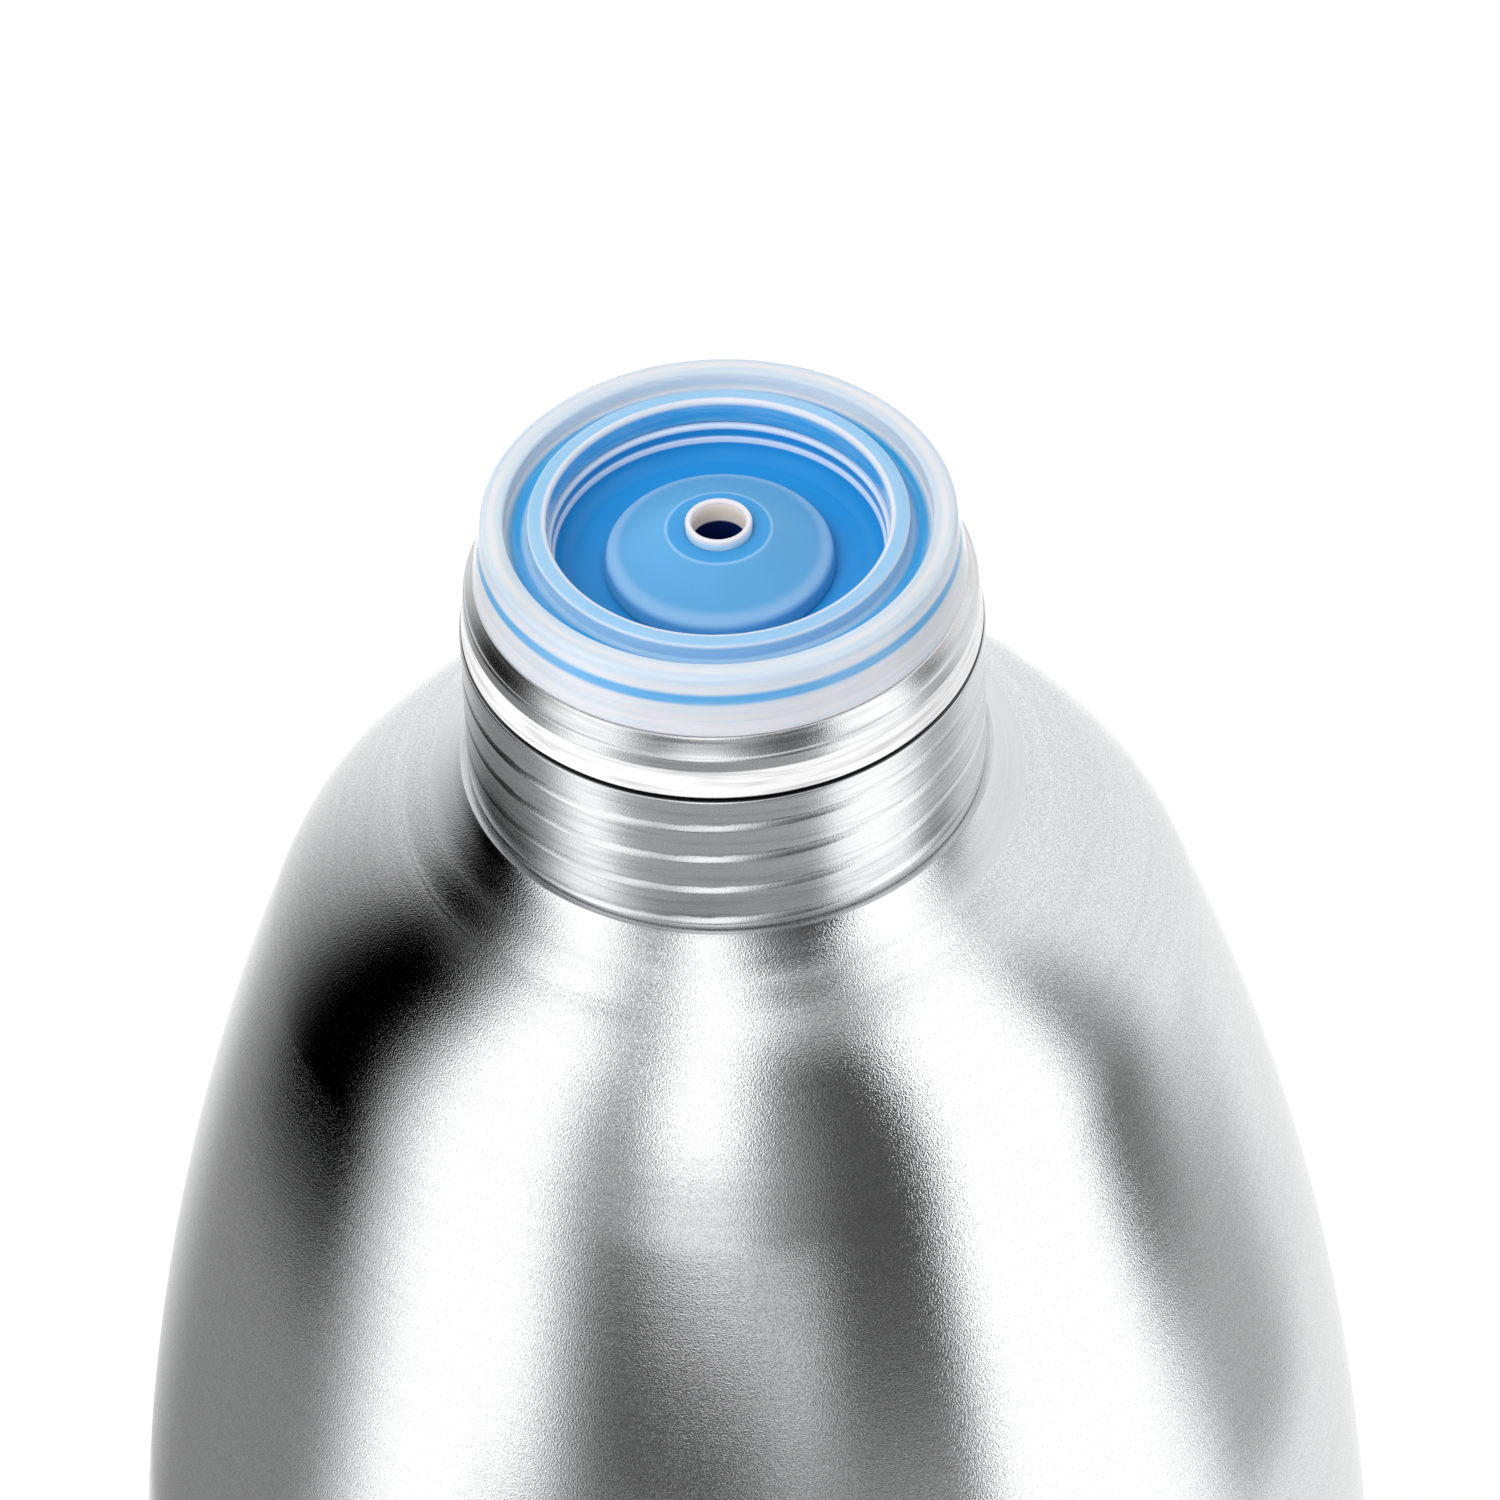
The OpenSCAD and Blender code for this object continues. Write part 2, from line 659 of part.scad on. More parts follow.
module head_body() {
    color(bright_steel) at_head() difference() {
        head_solid();
        translate([0, 0, -over]) cylinder(r = cap_r, h = ceiling_z + over);
        cylinder(r = cage_d / 2 + press_gap, h = cage_top_z);
        cylinder(r = chamber_d / 2, h = seat_z);
        cylinder(r = seat_d / 2, h = seat_z + gallery_h);
        cylinder(r = guide_r, h = tower_z + over);
        translate([0, 0, stem_seal_z - stem_seal_t / 2 - run_gap])
            cylinder(r = guide_r + stem_seal_t + press_gap, h = stem_seal_t + 2 * run_gap);
        translate([0, 0, spout_z]) bar_y(spout_bore_d / 2, -spout_face - over, 0);
        translate([0, 0, spout_z])
            bar_y(spout_seal_d / 2 + press_gap, -spout_face - over, -spout_face + spout_seal_t);
        translate([0, 0, charger_z])
            bar_y(socket_shank_d / 2 + press_gap, socket_start, charger_boss_y + over);
        translate([0, 0, charger_z]) bar_y(gas_port_d / 2, gas_port_y, socket_start + over);
        translate([0, gas_port_y, 0]) cylinder(r = gas_port_d / 2, h = charger_z);
        translate([0, 0, charger_z])
            bar_x(relief_shank_d / 2 + press_gap, relief_boss_x - relief_shank_len, relief_boss_x + over);
        translate([0, pivot_y, pivot_z]) bar_x(pin_d / 2 + press_gap, -ear_out_x - over, ear_out_x + over);
    }
}

module valve_cage() {
    color(brass) at_head() difference() {
        translate([0, 0, ceiling_z]) cylinder(r = cage_d / 2, h = cage_h);
        translate([0, 0, ceiling_z - over]) cylinder(r = riser_r + thread_gap, h = cage_h + 2 * over);
    }
}

// Point on the spring's tube: ring i along the helix, side j round the wire
function spring_point(i, j) =
    let (turn = 360 * i / spring_rings,
        side = 360 * j / spring_sides,
        r = spring_d / 2 + spring_wire_d / 2 * cos(side),
        climb = (spring_top_z - spring_bottom_z) * i / (spring_curls * spring_rings))
    [r * cos(turn), r * sin(turn), spring_bottom_z + climb + spring_wire_d / 2 * sin(side)];

module valve_spring() {
    last = spring_curls * spring_rings;
    tube = [for (i = [0 : last], j = [0 : spring_sides - 1]) spring_point(i, j)];
    skin = [for (i = [0 : last - 1], j = [0 : spring_sides - 1], half = [0, 1])
        let (a = i * spring_sides + j, b = i * spring_sides + (j + 1) % spring_sides)
        half == 0 ? [a, b, b + spring_sides] : [a, b + spring_sides, a + spring_sides]];
    start_cap = [for (j = [1 : spring_sides - 2]) [0, j + 1, j]];
    end_cap = [for (j = [1 : spring_sides - 2]) [0, j, j + 1] + last * spring_sides * [1, 1, 1]];
    gap = min([for (j = [0 : spring_sides - 1], k = [0 : spring_sides - 1])
        norm(spring_point(0, j) - spring_point(spring_rings, k))]);
    echo(valve_spring_least_gap = gap);
    color(bright_steel) at_head() polyhedron(tube, concat(skin, start_cap, end_cap));
}

module valve_stem() {
    color(bright_steel) at_head() {
        translate([0, 0, poppet_z]) cylinder(r = poppet_d / 2, h = poppet_t);
        translate([0, 0, poppet_z - pilot_h]) cylinder(r = stem_r, h = stem_top_z - poppet_z + pilot_h);
    }
}

module valve_washer() {
    color(black_rubber) at_head() difference() {
        translate([0, 0, washer_z]) cylinder(r = poppet_d / 2, h = washer_t);
        translate([0, 0, washer_z - over]) cylinder(r = stem_r + press_gap, h = washer_t + 2 * over);
    }
}

module stem_seal() {
    ring_r = stem_r + run_gap + stem_seal_t / 2;
    color(black_rubber) at_head() translate([0, 0, stem_seal_z])
        rotate_extrude() translate([ring_r, 0]) circle(stem_seal_t / 2, $fn = 32);
}

// Lever seen along X: hub, nose and the long curved arm
module lever_side() {
    translate([pivot_y, pivot_z]) circle(hub_d / 2);
    translate([0, nose_z]) circle(nose_r);
    intersection() {
        translate([lever_curve_y, lever_curve_z]) difference() {
            circle(lever_curve_r + lever_t / 2, $fn = long_fn);
            circle(lever_curve_r - lever_t / 2, $fn = long_fn);
        }
        translate([pivot_y, pivot_z - lever_t])
            square([lever_tip_y - pivot_y + lever_t, lever_curve_z + lever_curve_r + lever_t - pivot_z]);
    }
}

// Lever seen from above: narrow hub, widening neck and round thumb plate
module lever_plan() {
    half_w = plate_w / 2;
    translate([-hub_w / 2, pivot_y - hub_d / 2]) square([hub_w, plate_start - pivot_y]);
    polygon([[-hub_w / 2, nose_r], [hub_w / 2, nose_r], [half_w, plate_start], [-half_w, plate_start]]);
    translate([-half_w, plate_start]) square([plate_w, lever_tip_y - half_w - plate_start]);
    translate([0, lever_tip_y - half_w]) circle(half_w);
}

module lever() {
    reach = lever_len + hub_d;
    color(steel) at_head() difference() {
        intersection() {
            rotate([90, 0, 90]) translate([0, 0, -plate_w / 2]) linear_extrude(plate_w) lever_side();
            translate([0, 0, tower_z]) linear_extrude(reach) lever_plan();
        }
        translate([0, pivot_y, pivot_z]) bar_x(pin_d / 2 + run_gap, -hub_w, hub_w);
    }
}

module lever_pin() {
    color(bright_steel) at_head() translate([0, pivot_y, pivot_z]) {
        bar_x(pin_d / 2, -ear_out_x - pin_head_t, ear_out_x + 2 * clip_t);
        bar_x(pin_head_d / 2, -ear_out_x - pin_head_t, -ear_out_x);
    }
}

module pin_clip() {
    color(dark_plastic) at_head() translate([0, pivot_y, pivot_z]) difference() {
        bar_x(clip_d / 2, ear_out_x, ear_out_x + clip_t);
        bar_x(pin_d / 2 + press_gap, ear_out_x - over, ear_out_x + clip_t + over);
    }
}

// Spout's run and bend as a solid of the given radius, from the given distance in front of the stem
module spout_sweep(r, start) {
    bar_y(r, -spout_bend_start, -start);
    translate([0, -spout_bend_start, -spout_bend_r]) rotate([180, -90, 0])
        rotate_extrude(angle = spout_turn) translate([spout_bend_r, 0]) circle(r);
}

// Places a piece at the end of the spout's drop, its length back along the drop
module at_spout_end() {
    end_y = -spout_bend_start - spout_bend_r * sin(spout_turn) - spout_drop * cos(spout_turn);
    end_z = -spout_bend_r * (1 - cos(spout_turn)) - spout_drop * sin(spout_turn);
    translate([0, end_y, end_z]) rotate([spout_turn - 90, 0, 0]) children();
}

module at_spout() {
    at_head() translate([0, 0, spout_z]) children();
}

module spout_tube() {
    color(bright_steel) at_spout() difference() {
        union() {
            spout_sweep(spout_d / 2, spout_face);
            bar_y(spout_flange_d / 2, -spout_flange_end, -spout_face);
            at_spout_end() cylinder(r = spout_d / 2, h = spout_drop);
            at_spout_end() translate([0, 0, nozzle_seat]) cylinder(r = bead_d / 2, h = bead_w);
        }
        spout_sweep(spout_bore_d / 2, spout_face - over);
        at_spout_end() translate([0, 0, -over])
            cylinder(r = spout_bore_d / 2 + spout_ream, h = spout_drop + over + bead_w / 4);
    }
}

module spout_nut() {
    color(bright_steel) at_spout() difference() {
        translate([0, -nut_end, 0]) rotate([-90, 0, 0]) hex_bar(nut_flats, nut_len);
        bar_y(spout_boss_d / 2 + thread_gap, -spout_flange_end - run_gap, over);
        bar_y(spout_d / 2 + thread_gap, -nut_end - over, 0);
    }
}

module spout_seal() {
    color(black_rubber) at_spout() difference() {
        bar_y(spout_seal_d / 2, -spout_face, -spout_face + spout_seal_t);
        bar_y(spout_bore_d / 2, -spout_face - over, -spout_face + spout_seal_t + over);
    }
}

module spout_nozzle() {
    tip = nozzle_len - nozzle_seat;
    bore_r = spout_bore_d / 2;
    color(dark_plastic) at_spout() at_spout_end() rotate_extrude() polygon([
        [bore_r, -tip], [nozzle_mouth_d / 2, -tip], [nozzle_d / 2, 0], [nozzle_d / 2, nozzle_seat],
        [spout_d / 2 + press_gap, nozzle_seat], [spout_d / 2 + press_gap, 0], [bore_r, 0]]);
}

module charger_socket() {
    color(brass) at_charger() difference() {
        union() {
            bar_y(socket_shank_d / 2, socket_start, charger_boss_y);
            bar_y(charger_boss_d / 2, charger_boss_y, socket_flange_end);
            bar_y(socket_nose_d / 2, socket_flange_end, socket_end);
        }
        bar_y(pierce_d / 2 + press_gap, socket_start - over, socket_end);
        bar_y(neck_bore_r, seal_start, socket_end + over);
    }
}

module piercing_pin() {
    point_len = needle_d;
    color(bright_steel) at_charger() difference() {
        turned_y() polygon([
            [0, socket_start], [pierce_d / 2, socket_start], [pierce_d / 2, seal_start],
            [needle_d / 2, seal_start], [needle_d / 2, needle_end - point_len],
            [gas_bore_d / 2, needle_end], [0, needle_end]]);
        bar_y(gas_bore_d / 2, socket_start - over, needle_end + over);
    }
}

module charger_seal() {
    color(black_rubber) at_charger() difference() {
        bar_y(neck_bore_r - press_gap, seal_start, charger_start);
        bar_y(needle_d / 2 + press_gap, seal_start - over, charger_start + over);
    }
}

// Half section of the charger, inset by its wall
module charger_section(inset) {
    shoulder = charger_start + charger_neck_len;
    full = shoulder + charger_shoulder_len;
    end_r = charger_r - inset;
    polygon([[0, charger_start + inset], [charger_neck_r - inset, charger_start + inset],
        [charger_neck_r - inset, shoulder], [end_r, full], [end_r, charger_end - charger_r],
        [0, charger_end - charger_r]]);
    intersection() {
        translate([0, charger_end - charger_r]) circle(end_r);
        translate([0, charger_end - charger_r]) square(charger_r);
    }
}

module co2_charger() {
    color(bright_steel) at_charger() turned_y() difference() {
        charger_section(0);
        charger_section(charger_wall);
        square([needle_d / 2 + thread_gap, charger_start + 2 * charger_wall]);
    }
}

module charger_holder() {
    color(steel) at_charger() turned_y() difference() {
        union() {
            translate([0, holder_start])
                square([holder_mouth_out_r, holder_mouth_end + holder_mouth_wall - holder_start]);
            translate([0, holder_start]) square([holder_r, grip_end - holder_start]);
            intersection() {
                translate([0, grip_end]) circle(holder_r);
                translate([0, holder_start]) square([holder_r, holder_end - holder_start]);
            }
        }
        translate([0, holder_start - over]) square([holder_mouth_r, holder_mouth_end - holder_start + over]);
        translate([0, holder_start]) square([holder_bore_r, charger_end - charger_r - holder_start]);
        intersection() {
            translate([0, holder_floor - holder_bore_r]) circle(holder_bore_r);
            translate([0, holder_start]) square([holder_bore_r, holder_floor - holder_start]);
        }
    }
}

module holder_grip() {
    color(black_rubber) at_charger() translate([0, grip_start, 0]) rotate([-90, 0, 0]) difference() {
        cylinder(r = grip_r, h = grip_len);
        translate([0, 0, -over]) cylinder(r = holder_r + press_gap, h = grip_len + 2 * over);
        flute_cuts(grip_r, grip_t, grip_t / 3, grip_flutes, grip_len);
    }
}

module relief_valve() {
    color(brass) at_charger() {
        bar_x(relief_shank_d / 2, relief_boss_x - relief_shank_len, relief_boss_x);
        translate([relief_boss_x, 0, 0]) rotate([0, 90, 0]) hex_bar(relief_flats, relief_h);
    }
}

bottle_cup();
bottle_shoulder();
threaded_neck();
neck_gasket();
neck_insert();
tube_collar();
riser_tube();
measuring_tube();
head_body();
valve_cage();
valve_spring();
valve_stem();
valve_washer();
stem_seal();
lever();
lever_pin();
pin_clip();
spout_tube();
spout_nut();
spout_seal();
spout_nozzle();
charger_socket();
piercing_pin();
charger_seal();
co2_charger();
charger_holder();
holder_grip();
relief_valve();
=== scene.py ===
import json
import math
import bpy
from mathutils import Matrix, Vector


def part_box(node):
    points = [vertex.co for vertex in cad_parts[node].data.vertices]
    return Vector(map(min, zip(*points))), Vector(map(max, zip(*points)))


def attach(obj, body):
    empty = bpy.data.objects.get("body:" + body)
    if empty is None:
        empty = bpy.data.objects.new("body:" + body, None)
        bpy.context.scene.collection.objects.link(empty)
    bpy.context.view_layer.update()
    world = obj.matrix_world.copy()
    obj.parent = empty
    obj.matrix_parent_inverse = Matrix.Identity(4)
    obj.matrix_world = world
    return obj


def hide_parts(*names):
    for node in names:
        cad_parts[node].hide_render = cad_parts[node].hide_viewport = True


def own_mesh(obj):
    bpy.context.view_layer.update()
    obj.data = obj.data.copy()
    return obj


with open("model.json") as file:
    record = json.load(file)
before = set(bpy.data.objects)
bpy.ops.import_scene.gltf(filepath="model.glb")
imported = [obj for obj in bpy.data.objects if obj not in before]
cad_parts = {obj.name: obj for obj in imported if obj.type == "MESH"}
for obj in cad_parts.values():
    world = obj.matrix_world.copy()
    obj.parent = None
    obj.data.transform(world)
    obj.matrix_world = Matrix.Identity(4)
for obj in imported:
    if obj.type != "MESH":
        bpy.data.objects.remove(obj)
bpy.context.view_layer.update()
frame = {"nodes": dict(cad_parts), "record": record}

from types import SimpleNamespace

import bpy
import numpy as np
from bpy.props import FloatProperty, FloatVectorProperty, IntProperty, PointerProperty
from mathutils import Matrix, Vector

bl_info = {
    "name": "Open soda siphon",
    "version": (1, 0, 0),
    "blender": (4, 5, 0),
    "location": "View3D > Sidebar > Siphon",
    "description": "Builds the surfaces, finishes and studio of a soda siphon shown open",
    "category": "Object",
}

MM = 0.001
FULL_TURN = 2 * math.pi
X, Y, Z = range(3)
ALONG_X = (1, 0, 0)
ALONG_Y = (0, 1, 0)
ALONG_Z = (0, 0, 1)
FINISHES = {}


def span(node, axis):
    """The two ends of a solid's box along an axis, in millimetres."""
    low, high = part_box(node)
    return low[axis] / MM, high[axis] / MM


def middle(node, axis):
    """The middle of a solid's box along an axis, in millimetres."""
    return sum(span(node, axis)) / 2


# Places that are read from the solids, in millimetres
BODY_RADIUS = span("bottle_cup", X)[1]
SIDE_TOP = span("bottle_cup", Z)[1]
GASKET_TOP = span("neck_gasket", Z)[1]
RISER_FOOT, RISER_TOP = span("riser_tube", Z)
HEAD_X = middle("valve_stem", X)
STEM_FOOT, STEM_TOP = span("valve_stem", Z)
PIVOT_Y = middle("lever_pin", Y)
PIVOT_Z = middle("lever_pin", Z)
SPOUT_Z = middle("spout_nut", Z)
NUT_FRONT, NUT_BACK = span("spout_nut", Y)
CHARGER_Z = middle("charger_holder", Z)


def length(label, description, size_mm):
    """A size property, written in millimetres and kept in metres."""
    return FloatProperty(name=label, description=description, default=size_mm * MM, min=0, precision=5,
                         unit="LENGTH")


def turn(label, description, degrees):
    """An angle property, written in degrees."""
    return FloatProperty(name=label, description=description, default=math.radians(degrees),
                         subtype="ANGLE")


def count(label, description, value, least):
    """A whole number property."""
    return IntProperty(name=label, description=description, default=value, min=least)


def tint(label, description, colour):
    """A colour property."""
    return FloatVectorProperty(name=label, description=description, default=colour, min=0, max=1, size=3,
                               subtype="COLOR")


def share(label, description, value):
    """A plain number between nothing and all."""
    return FloatProperty(name=label, description=description, default=value, min=0, max=1, subtype="FACTOR")


class BottleSizes(bpy.types.PropertyGroup):
    """Sizes of the steel bottle and its neck."""
    wall: length("Wall", "Thickness of the drawn steel", 1)
    base_corner: length("Base corner", "Rounding between the side and the foot ring", 9)
    dish_width: length("Dish width", "Width of the hollow under the base", 72)
    dish_depth: length("Dish depth", "Depth of the hollow under the base", 8)
    belly_radius: length("Belly radius", "Radius of the long side curve", 265)
    belly_turn: turn("Belly turn", "Angle that the long side curve turns through", 19.5)
    shoulder_radius: length("Shoulder radius", "Radius of the shoulder's curve", 30)
    fillet_radius: length("Fillet radius", "Radius of the hollow curve at the neck's foot", 6)
    foot_step: length("Foot step", "Width of the small ledge round the neck's foot", 0.55)
    neck_radius: length("Neck radius", "Outer radius of the thread", 19.3)
    mouth_radius: length("Mouth radius", "Radius of the opening", 16)
    undercut_height: length("Undercut height", "Height of the cut under the thread", 0.15)
    undercut_depth: length("Undercut depth", "Depth of the cut under the thread", 0.12)
    thread_height: length("Thread height", "Height from the foot to the groove above the thread", 12.75)
    thread_pitch: length("Thread pitch", "Rise of the thread in one turn", 3.12)
    thread_depth: length("Thread depth", "Depth of the thread's groove", 0.42)
    thread_mark: length("Thread mark", "Height of one thread flank at the front of the neck", 219)
    groove_height: length("Groove height", "Height of the groove under the plain band", 0.35)
    groove_depth: length("Groove depth", "Depth of the groove under the plain band", 0.6)
    band_step: length("Band step", "How far the plain band stands back from the thread", 0.15)
    band_height: length("Band height", "Height of the plain band", 3.5)
    band_lean: length("Band lean", "How far the plain band leans inwards", 0.3)
    bevel_height: length("Bevel height", "Height of the rim's bevel", 1.5)
    bevel_width: length("Bevel width", "Width of the rim's bevel", 0.75)


class InsertSizes(bpy.types.PropertyGroup):
    """Sizes of the gasket, insert, collar and riser tube. Heights count from the gasket's seat."""
    gasket_height: length("Gasket height", "Height of the gasket above the rim", 5)
    gasket_foot: length("Gasket foot", "Outer radius of the gasket at the rim", 18.1)
    gasket_top: length("Gasket top", "Outer radius of the gasket at its top", 17.3)
    channel_outer: length("Channel outside", "Outer radius of the gasket's channel", 15.6)
    channel_inner: length("Channel inside", "Inner radius of the gasket's channel", 13.9)
    channel_floor: length("Channel floor", "Height of the channel's floor", 3.6)
    lip_inner: length("Lip inside", "Inner radius of the gasket's lip", 12.5)
    web_under: length("Web underside", "Height of the underside of the gasket's web", 2.9)
    sleeve_outer: length("Sleeve outside", "Outer radius of the gasket's sleeve", 15.95)
    sleeve_inner: length("Sleeve inside", "Inner radius of the gasket's sleeve", 14.95)
    sleeve_depth: length("Sleeve depth", "Depth of the gasket's sleeve in the mouth", 6)
    floor_height: length("Floor height", "Height of the insert's floor", 0.25)
    floor_thickness: length("Floor thickness", "Thickness of the insert's floor", 1.6)
    bowl_radius: length("Bowl radius", "Rounding between the insert's floor and its wall", 1.5)
    bowl_step: length("Bowl step", "Width of the small step above the rounding", 0.18)
    skirt_depth: length("Skirt depth", "Depth of the insert's skirt below its floor", 7)
    skirt_wall: length("Skirt wall", "Thickness of the insert's skirt", 1.5)
    ring_outer: length("Ring outside", "Outer radius of the ring that carries the measuring tube", 10.02)
    ring_inner: length("Ring inside", "Inner radius of the ring that carries the measuring tube", 8.52)
    ring_depth: length("Ring depth", "Depth of the ring that carries the measuring tube", 5)
    recess_radius: length("Recess radius", "Radius of the insert's recess", 12.2)
    shank_hole: length("Shank hole", "Radius of the hole in the insert's floor", 3.92)
    shank_radius: length("Shank radius", "Radius of the collar's shank", 3.9)
    shank_depth: length("Shank depth", "Depth of the collar's shank below the insert's floor", 7.6)
    collar_radius: length("Collar radius", "Radius of the collar at its foot", 8.5)
    collar_shoulder: length("Collar shoulder", "Radius of the collar at its shoulder", 8.25)
    collar_side: length("Collar side", "Height of the collar's shoulder", 1.65)
    collar_pad: length("Collar pad", "Radius of the collar's flat top", 3.85)
    collar_top: length("Collar top", "Height of the collar's flat top", 3.75)
    riser_radius: length("Riser radius", "Outer radius of the riser tube", 2.45)
    riser_bore: length("Riser bore", "Radius of the riser tube's bore", 2)
    riser_slant: length("Riser slant", "Height over which the riser tube's slanting foot fades", 8)


class HeadSizes(bpy.types.PropertyGroup):
    """Sizes of the lever head."""
    skirt_radius: length("Skirt radius", "Outer radius of the head's skirt", 25)
    skirt_height: length("Skirt height", "Height of the head's skirt", 18)
    cap_radius: length("Cap radius", "Radius of the bore that takes the neck", 19.6)
    ceiling: length("Ceiling", "Height of the bore's ceiling", 22.12)
    flutes: count("Flutes", "Number of flutes round the skirt", 20, 3)
    flute_radius: length("Flute radius", "Radius of each flute's hollow", 2.2)
    flute_depth: length("Flute depth", "Depth of each flute", 0.8)
    tower_radius: length("Tower radius", "Radius of the valve tower", 13)
    tower_top: length("Tower top", "Height of the valve tower", 59.12)
    tower_edge: length("Tower edge", "Rounding of the tower's top edge", 2.5)
    stem_guide: length("Stem guide", "Radius of the bore that guides the valve stem", 2.6)
    ear_radius: length("Ear radius", "Radius of the lever ears", 5.5)
    ear_thickness: length("Ear thickness", "Thickness of each lever ear", 3.6)
    lever_length: length("Lever length", "Length from the pivot to the thumb plate's tip", 95)
    lever_slope: turn("Lever slope", "Rise of the lever from pivot to tip", 9)
    lever_curve: length("Lever curve", "Radius of the lever's arch", 200)
    lever_thickness: length("Lever thickness", "Thickness of the lever", 4.5)
    plate_width: length("Plate width", "Width of the thumb plate", 19)
    hub_radius: length("Hub radius", "Radius of the lever's hub", 4.8)
    hub_width: length("Hub width", "Width of the lever's hub", 10.4)
    hub_bore: length("Hub bore", "Radius of the hub's bore", 2.06)
    nose_radius: length("Nose radius", "Radius of the nose that presses the stem", 3)
    spout_radius: length("Spout radius", "Outer radius of the spout tube", 5)
    spout_bore: length("Spout bore", "Radius of the spout's bore", 3.2)
    spout_bend: length("Spout bend", "Radius of the spout's bend", 22)
    spout_turn: turn("Spout turn", "Angle that the spout turns down through", 75)
    spout_drop: length("Spout drop", "Length of the spout below its bend", 7)
    spring_wire: length("Spring wire", "Thickness of the valve spring's wire", 0.86)
    spring_curls: count("Spring curls", "Curls of the valve spring", 4, 1)
    grip_flutes: count("Grip flutes", "Number of flutes round the grip", 14, 3)


class SiphonColours(bpy.types.PropertyGroup):
    """Colours of the finishes."""
    body_steel: tint("Body steel", "Satin steel of the bottle", (0.74, 0.745, 0.755))
    neck_steel: tint("Neck steel", "Turned steel of the neck", (0.72, 0.725, 0.74))
    # Painted sheen: near-white colour of the plain band, which stands in for the band's bright reflection.
    band_steel: tint("Band steel", "Ground finish of the plain band", (0.96, 0.96, 0.97))
    # Dark tone of the neck's streaks, and painted shade in the groove above the thread and in the cut under
    # it.
    soot: tint("Cut shade and streaks", "Dark left in the cuts of the neck", (0.05, 0.05, 0.055))
    silicone: tint("Silicone", "Milky clear gasket", (0.98, 0.97, 0.99))
    # Painted light: white that lifts the shade on the inner wall of the gasket's flange.
    silicone_white: tint("Silicone white", "Pale wall of the gasket's flange", (1.0, 0.99, 1.0))
    silicone_blue: tint("Silicone blue", "Blue that shows through the gasket's channel",
                        (0.015, 0.46, 0.94))
    # Pale blue of the gasket's streaks, painted sheen with the insert's seen-through blue on its lip and
    # edges, and a painted reflection of the collar on the riser tube.
    silicone_pale: tint("Silicone pale", "Pale blue of the gasket's lip and edge", (0.36, 0.69, 1.0))
    deep_blue: tint("Deep blue", "Insert", (0.017, 0.275, 0.63))
    # Painted highlight on the edges of the insert and the collar.
    insert_edge: tint("Insert edge", "Pale worn edges of the insert", (0.74, 0.79, 0.88))
    pale_blue: tint("Pale blue", "Collar", (0.105, 0.36, 0.63))
    ivory: tint("Ivory", "Riser tube", (1.0, 0.88, 0.78))
    riser_lip: tint("Riser lip", "Rim of the riser tube", (0.62, 0.60, 0.68))
    # Painted shade deep in the riser tube's bore.
    navy: tint("Navy", "Inside of the riser tube", (0.002, 0.012, 0.10))
    clear_plastic: tint("Clear plastic", "Measuring tube", (0.80, 0.88, 0.95))
    head_metal: tint("Head metal", "Satin cast head", (0.60, 0.605, 0.615))
    brass: tint("Brass", "Turned brass fittings", (0.72, 0.50, 0.22))
    spring_steel: tint("Spring steel", "Pin, stem and spring", (0.66, 0.665, 0.68))
    lever_steel: tint("Lever steel", "Polished lever and spout", (0.66, 0.665, 0.675))
    black_rubber: tint("Black rubber", "Seals and grip", (0.018, 0.018, 0.020))
    dark_plastic: tint("Dark plastic", "Nozzle and clip", (0.030, 0.033, 0.038))


class StudioSettings(bpy.types.PropertyGroup):
    """Camera and light."""
    camera_place: FloatVectorProperty(
        name="Camera place", description="Where the camera stands", size=3,
        default=(0.0017, -0.4336, 0.6282), subtype="TRANSLATION", unit="LENGTH")
    camera_dip: turn("Camera dip", "Angle that the camera looks down", 43.87)
    camera_roll: turn("Camera roll", "Turn of the camera about its view", -2)
    lens_share: FloatProperty(
        name="Lens", description="Focal length in picture widths", default=8082 / 1500)
    sky: share("Sky", "Level of the even light all round", 0.85)
    key_power: FloatProperty(
        name="Key light", description="Power of the large soft light", default=8.5, min=0, subtype="POWER")
    tent_radius: length("Tent radius", "Radius of the light tent", 400)
    floor_glow: share("Floor glow", "How much of the floor's white is even glow", 0.84)


def in_mm(group):
    """The values of a group of sizes by name, with every length in millimetres."""
    rows = group.bl_rna.properties
    values = {name: getattr(group, name) for name in type(group).__annotations__}
    return SimpleNamespace(**{
        name: value / MM if rows[name].unit == "LENGTH" else value for name, value in values.items()})


def gasket_seat(sizes):
    """Height of the gasket's seat on the neck's rim."""
    return GASKET_TOP - sizes.gasket_height


# Profiles

def arc(centre, radius, start, end, steps):
    """Points on a circle: centre plus radius times the cosine and sine of evenly spaced angles in
    degrees."""
    angle = np.radians(np.linspace(start, end, steps + 1))
    return np.stack([centre[0] + radius * np.cos(angle), centre[1] + radius * np.sin(angle)], 1)


def run(start, end, steps):
    """Evenly spaced points on a straight line, both ends included."""
    part = np.linspace(0, 1, steps + 1)[:, None]
    return np.asarray(start, float) * (1 - part) + np.asarray(end, float) * part


def dense(line, closed=True):
    """A line of corners with two more points on each side."""
    ends = line[1:] + line[:1] if closed else line[1:]
    points = [run(start, end, 3)[:-1] for start, end in zip(line, ends)]
    return np.concatenate(points if closed else points + [np.array(line[-1:], float)])


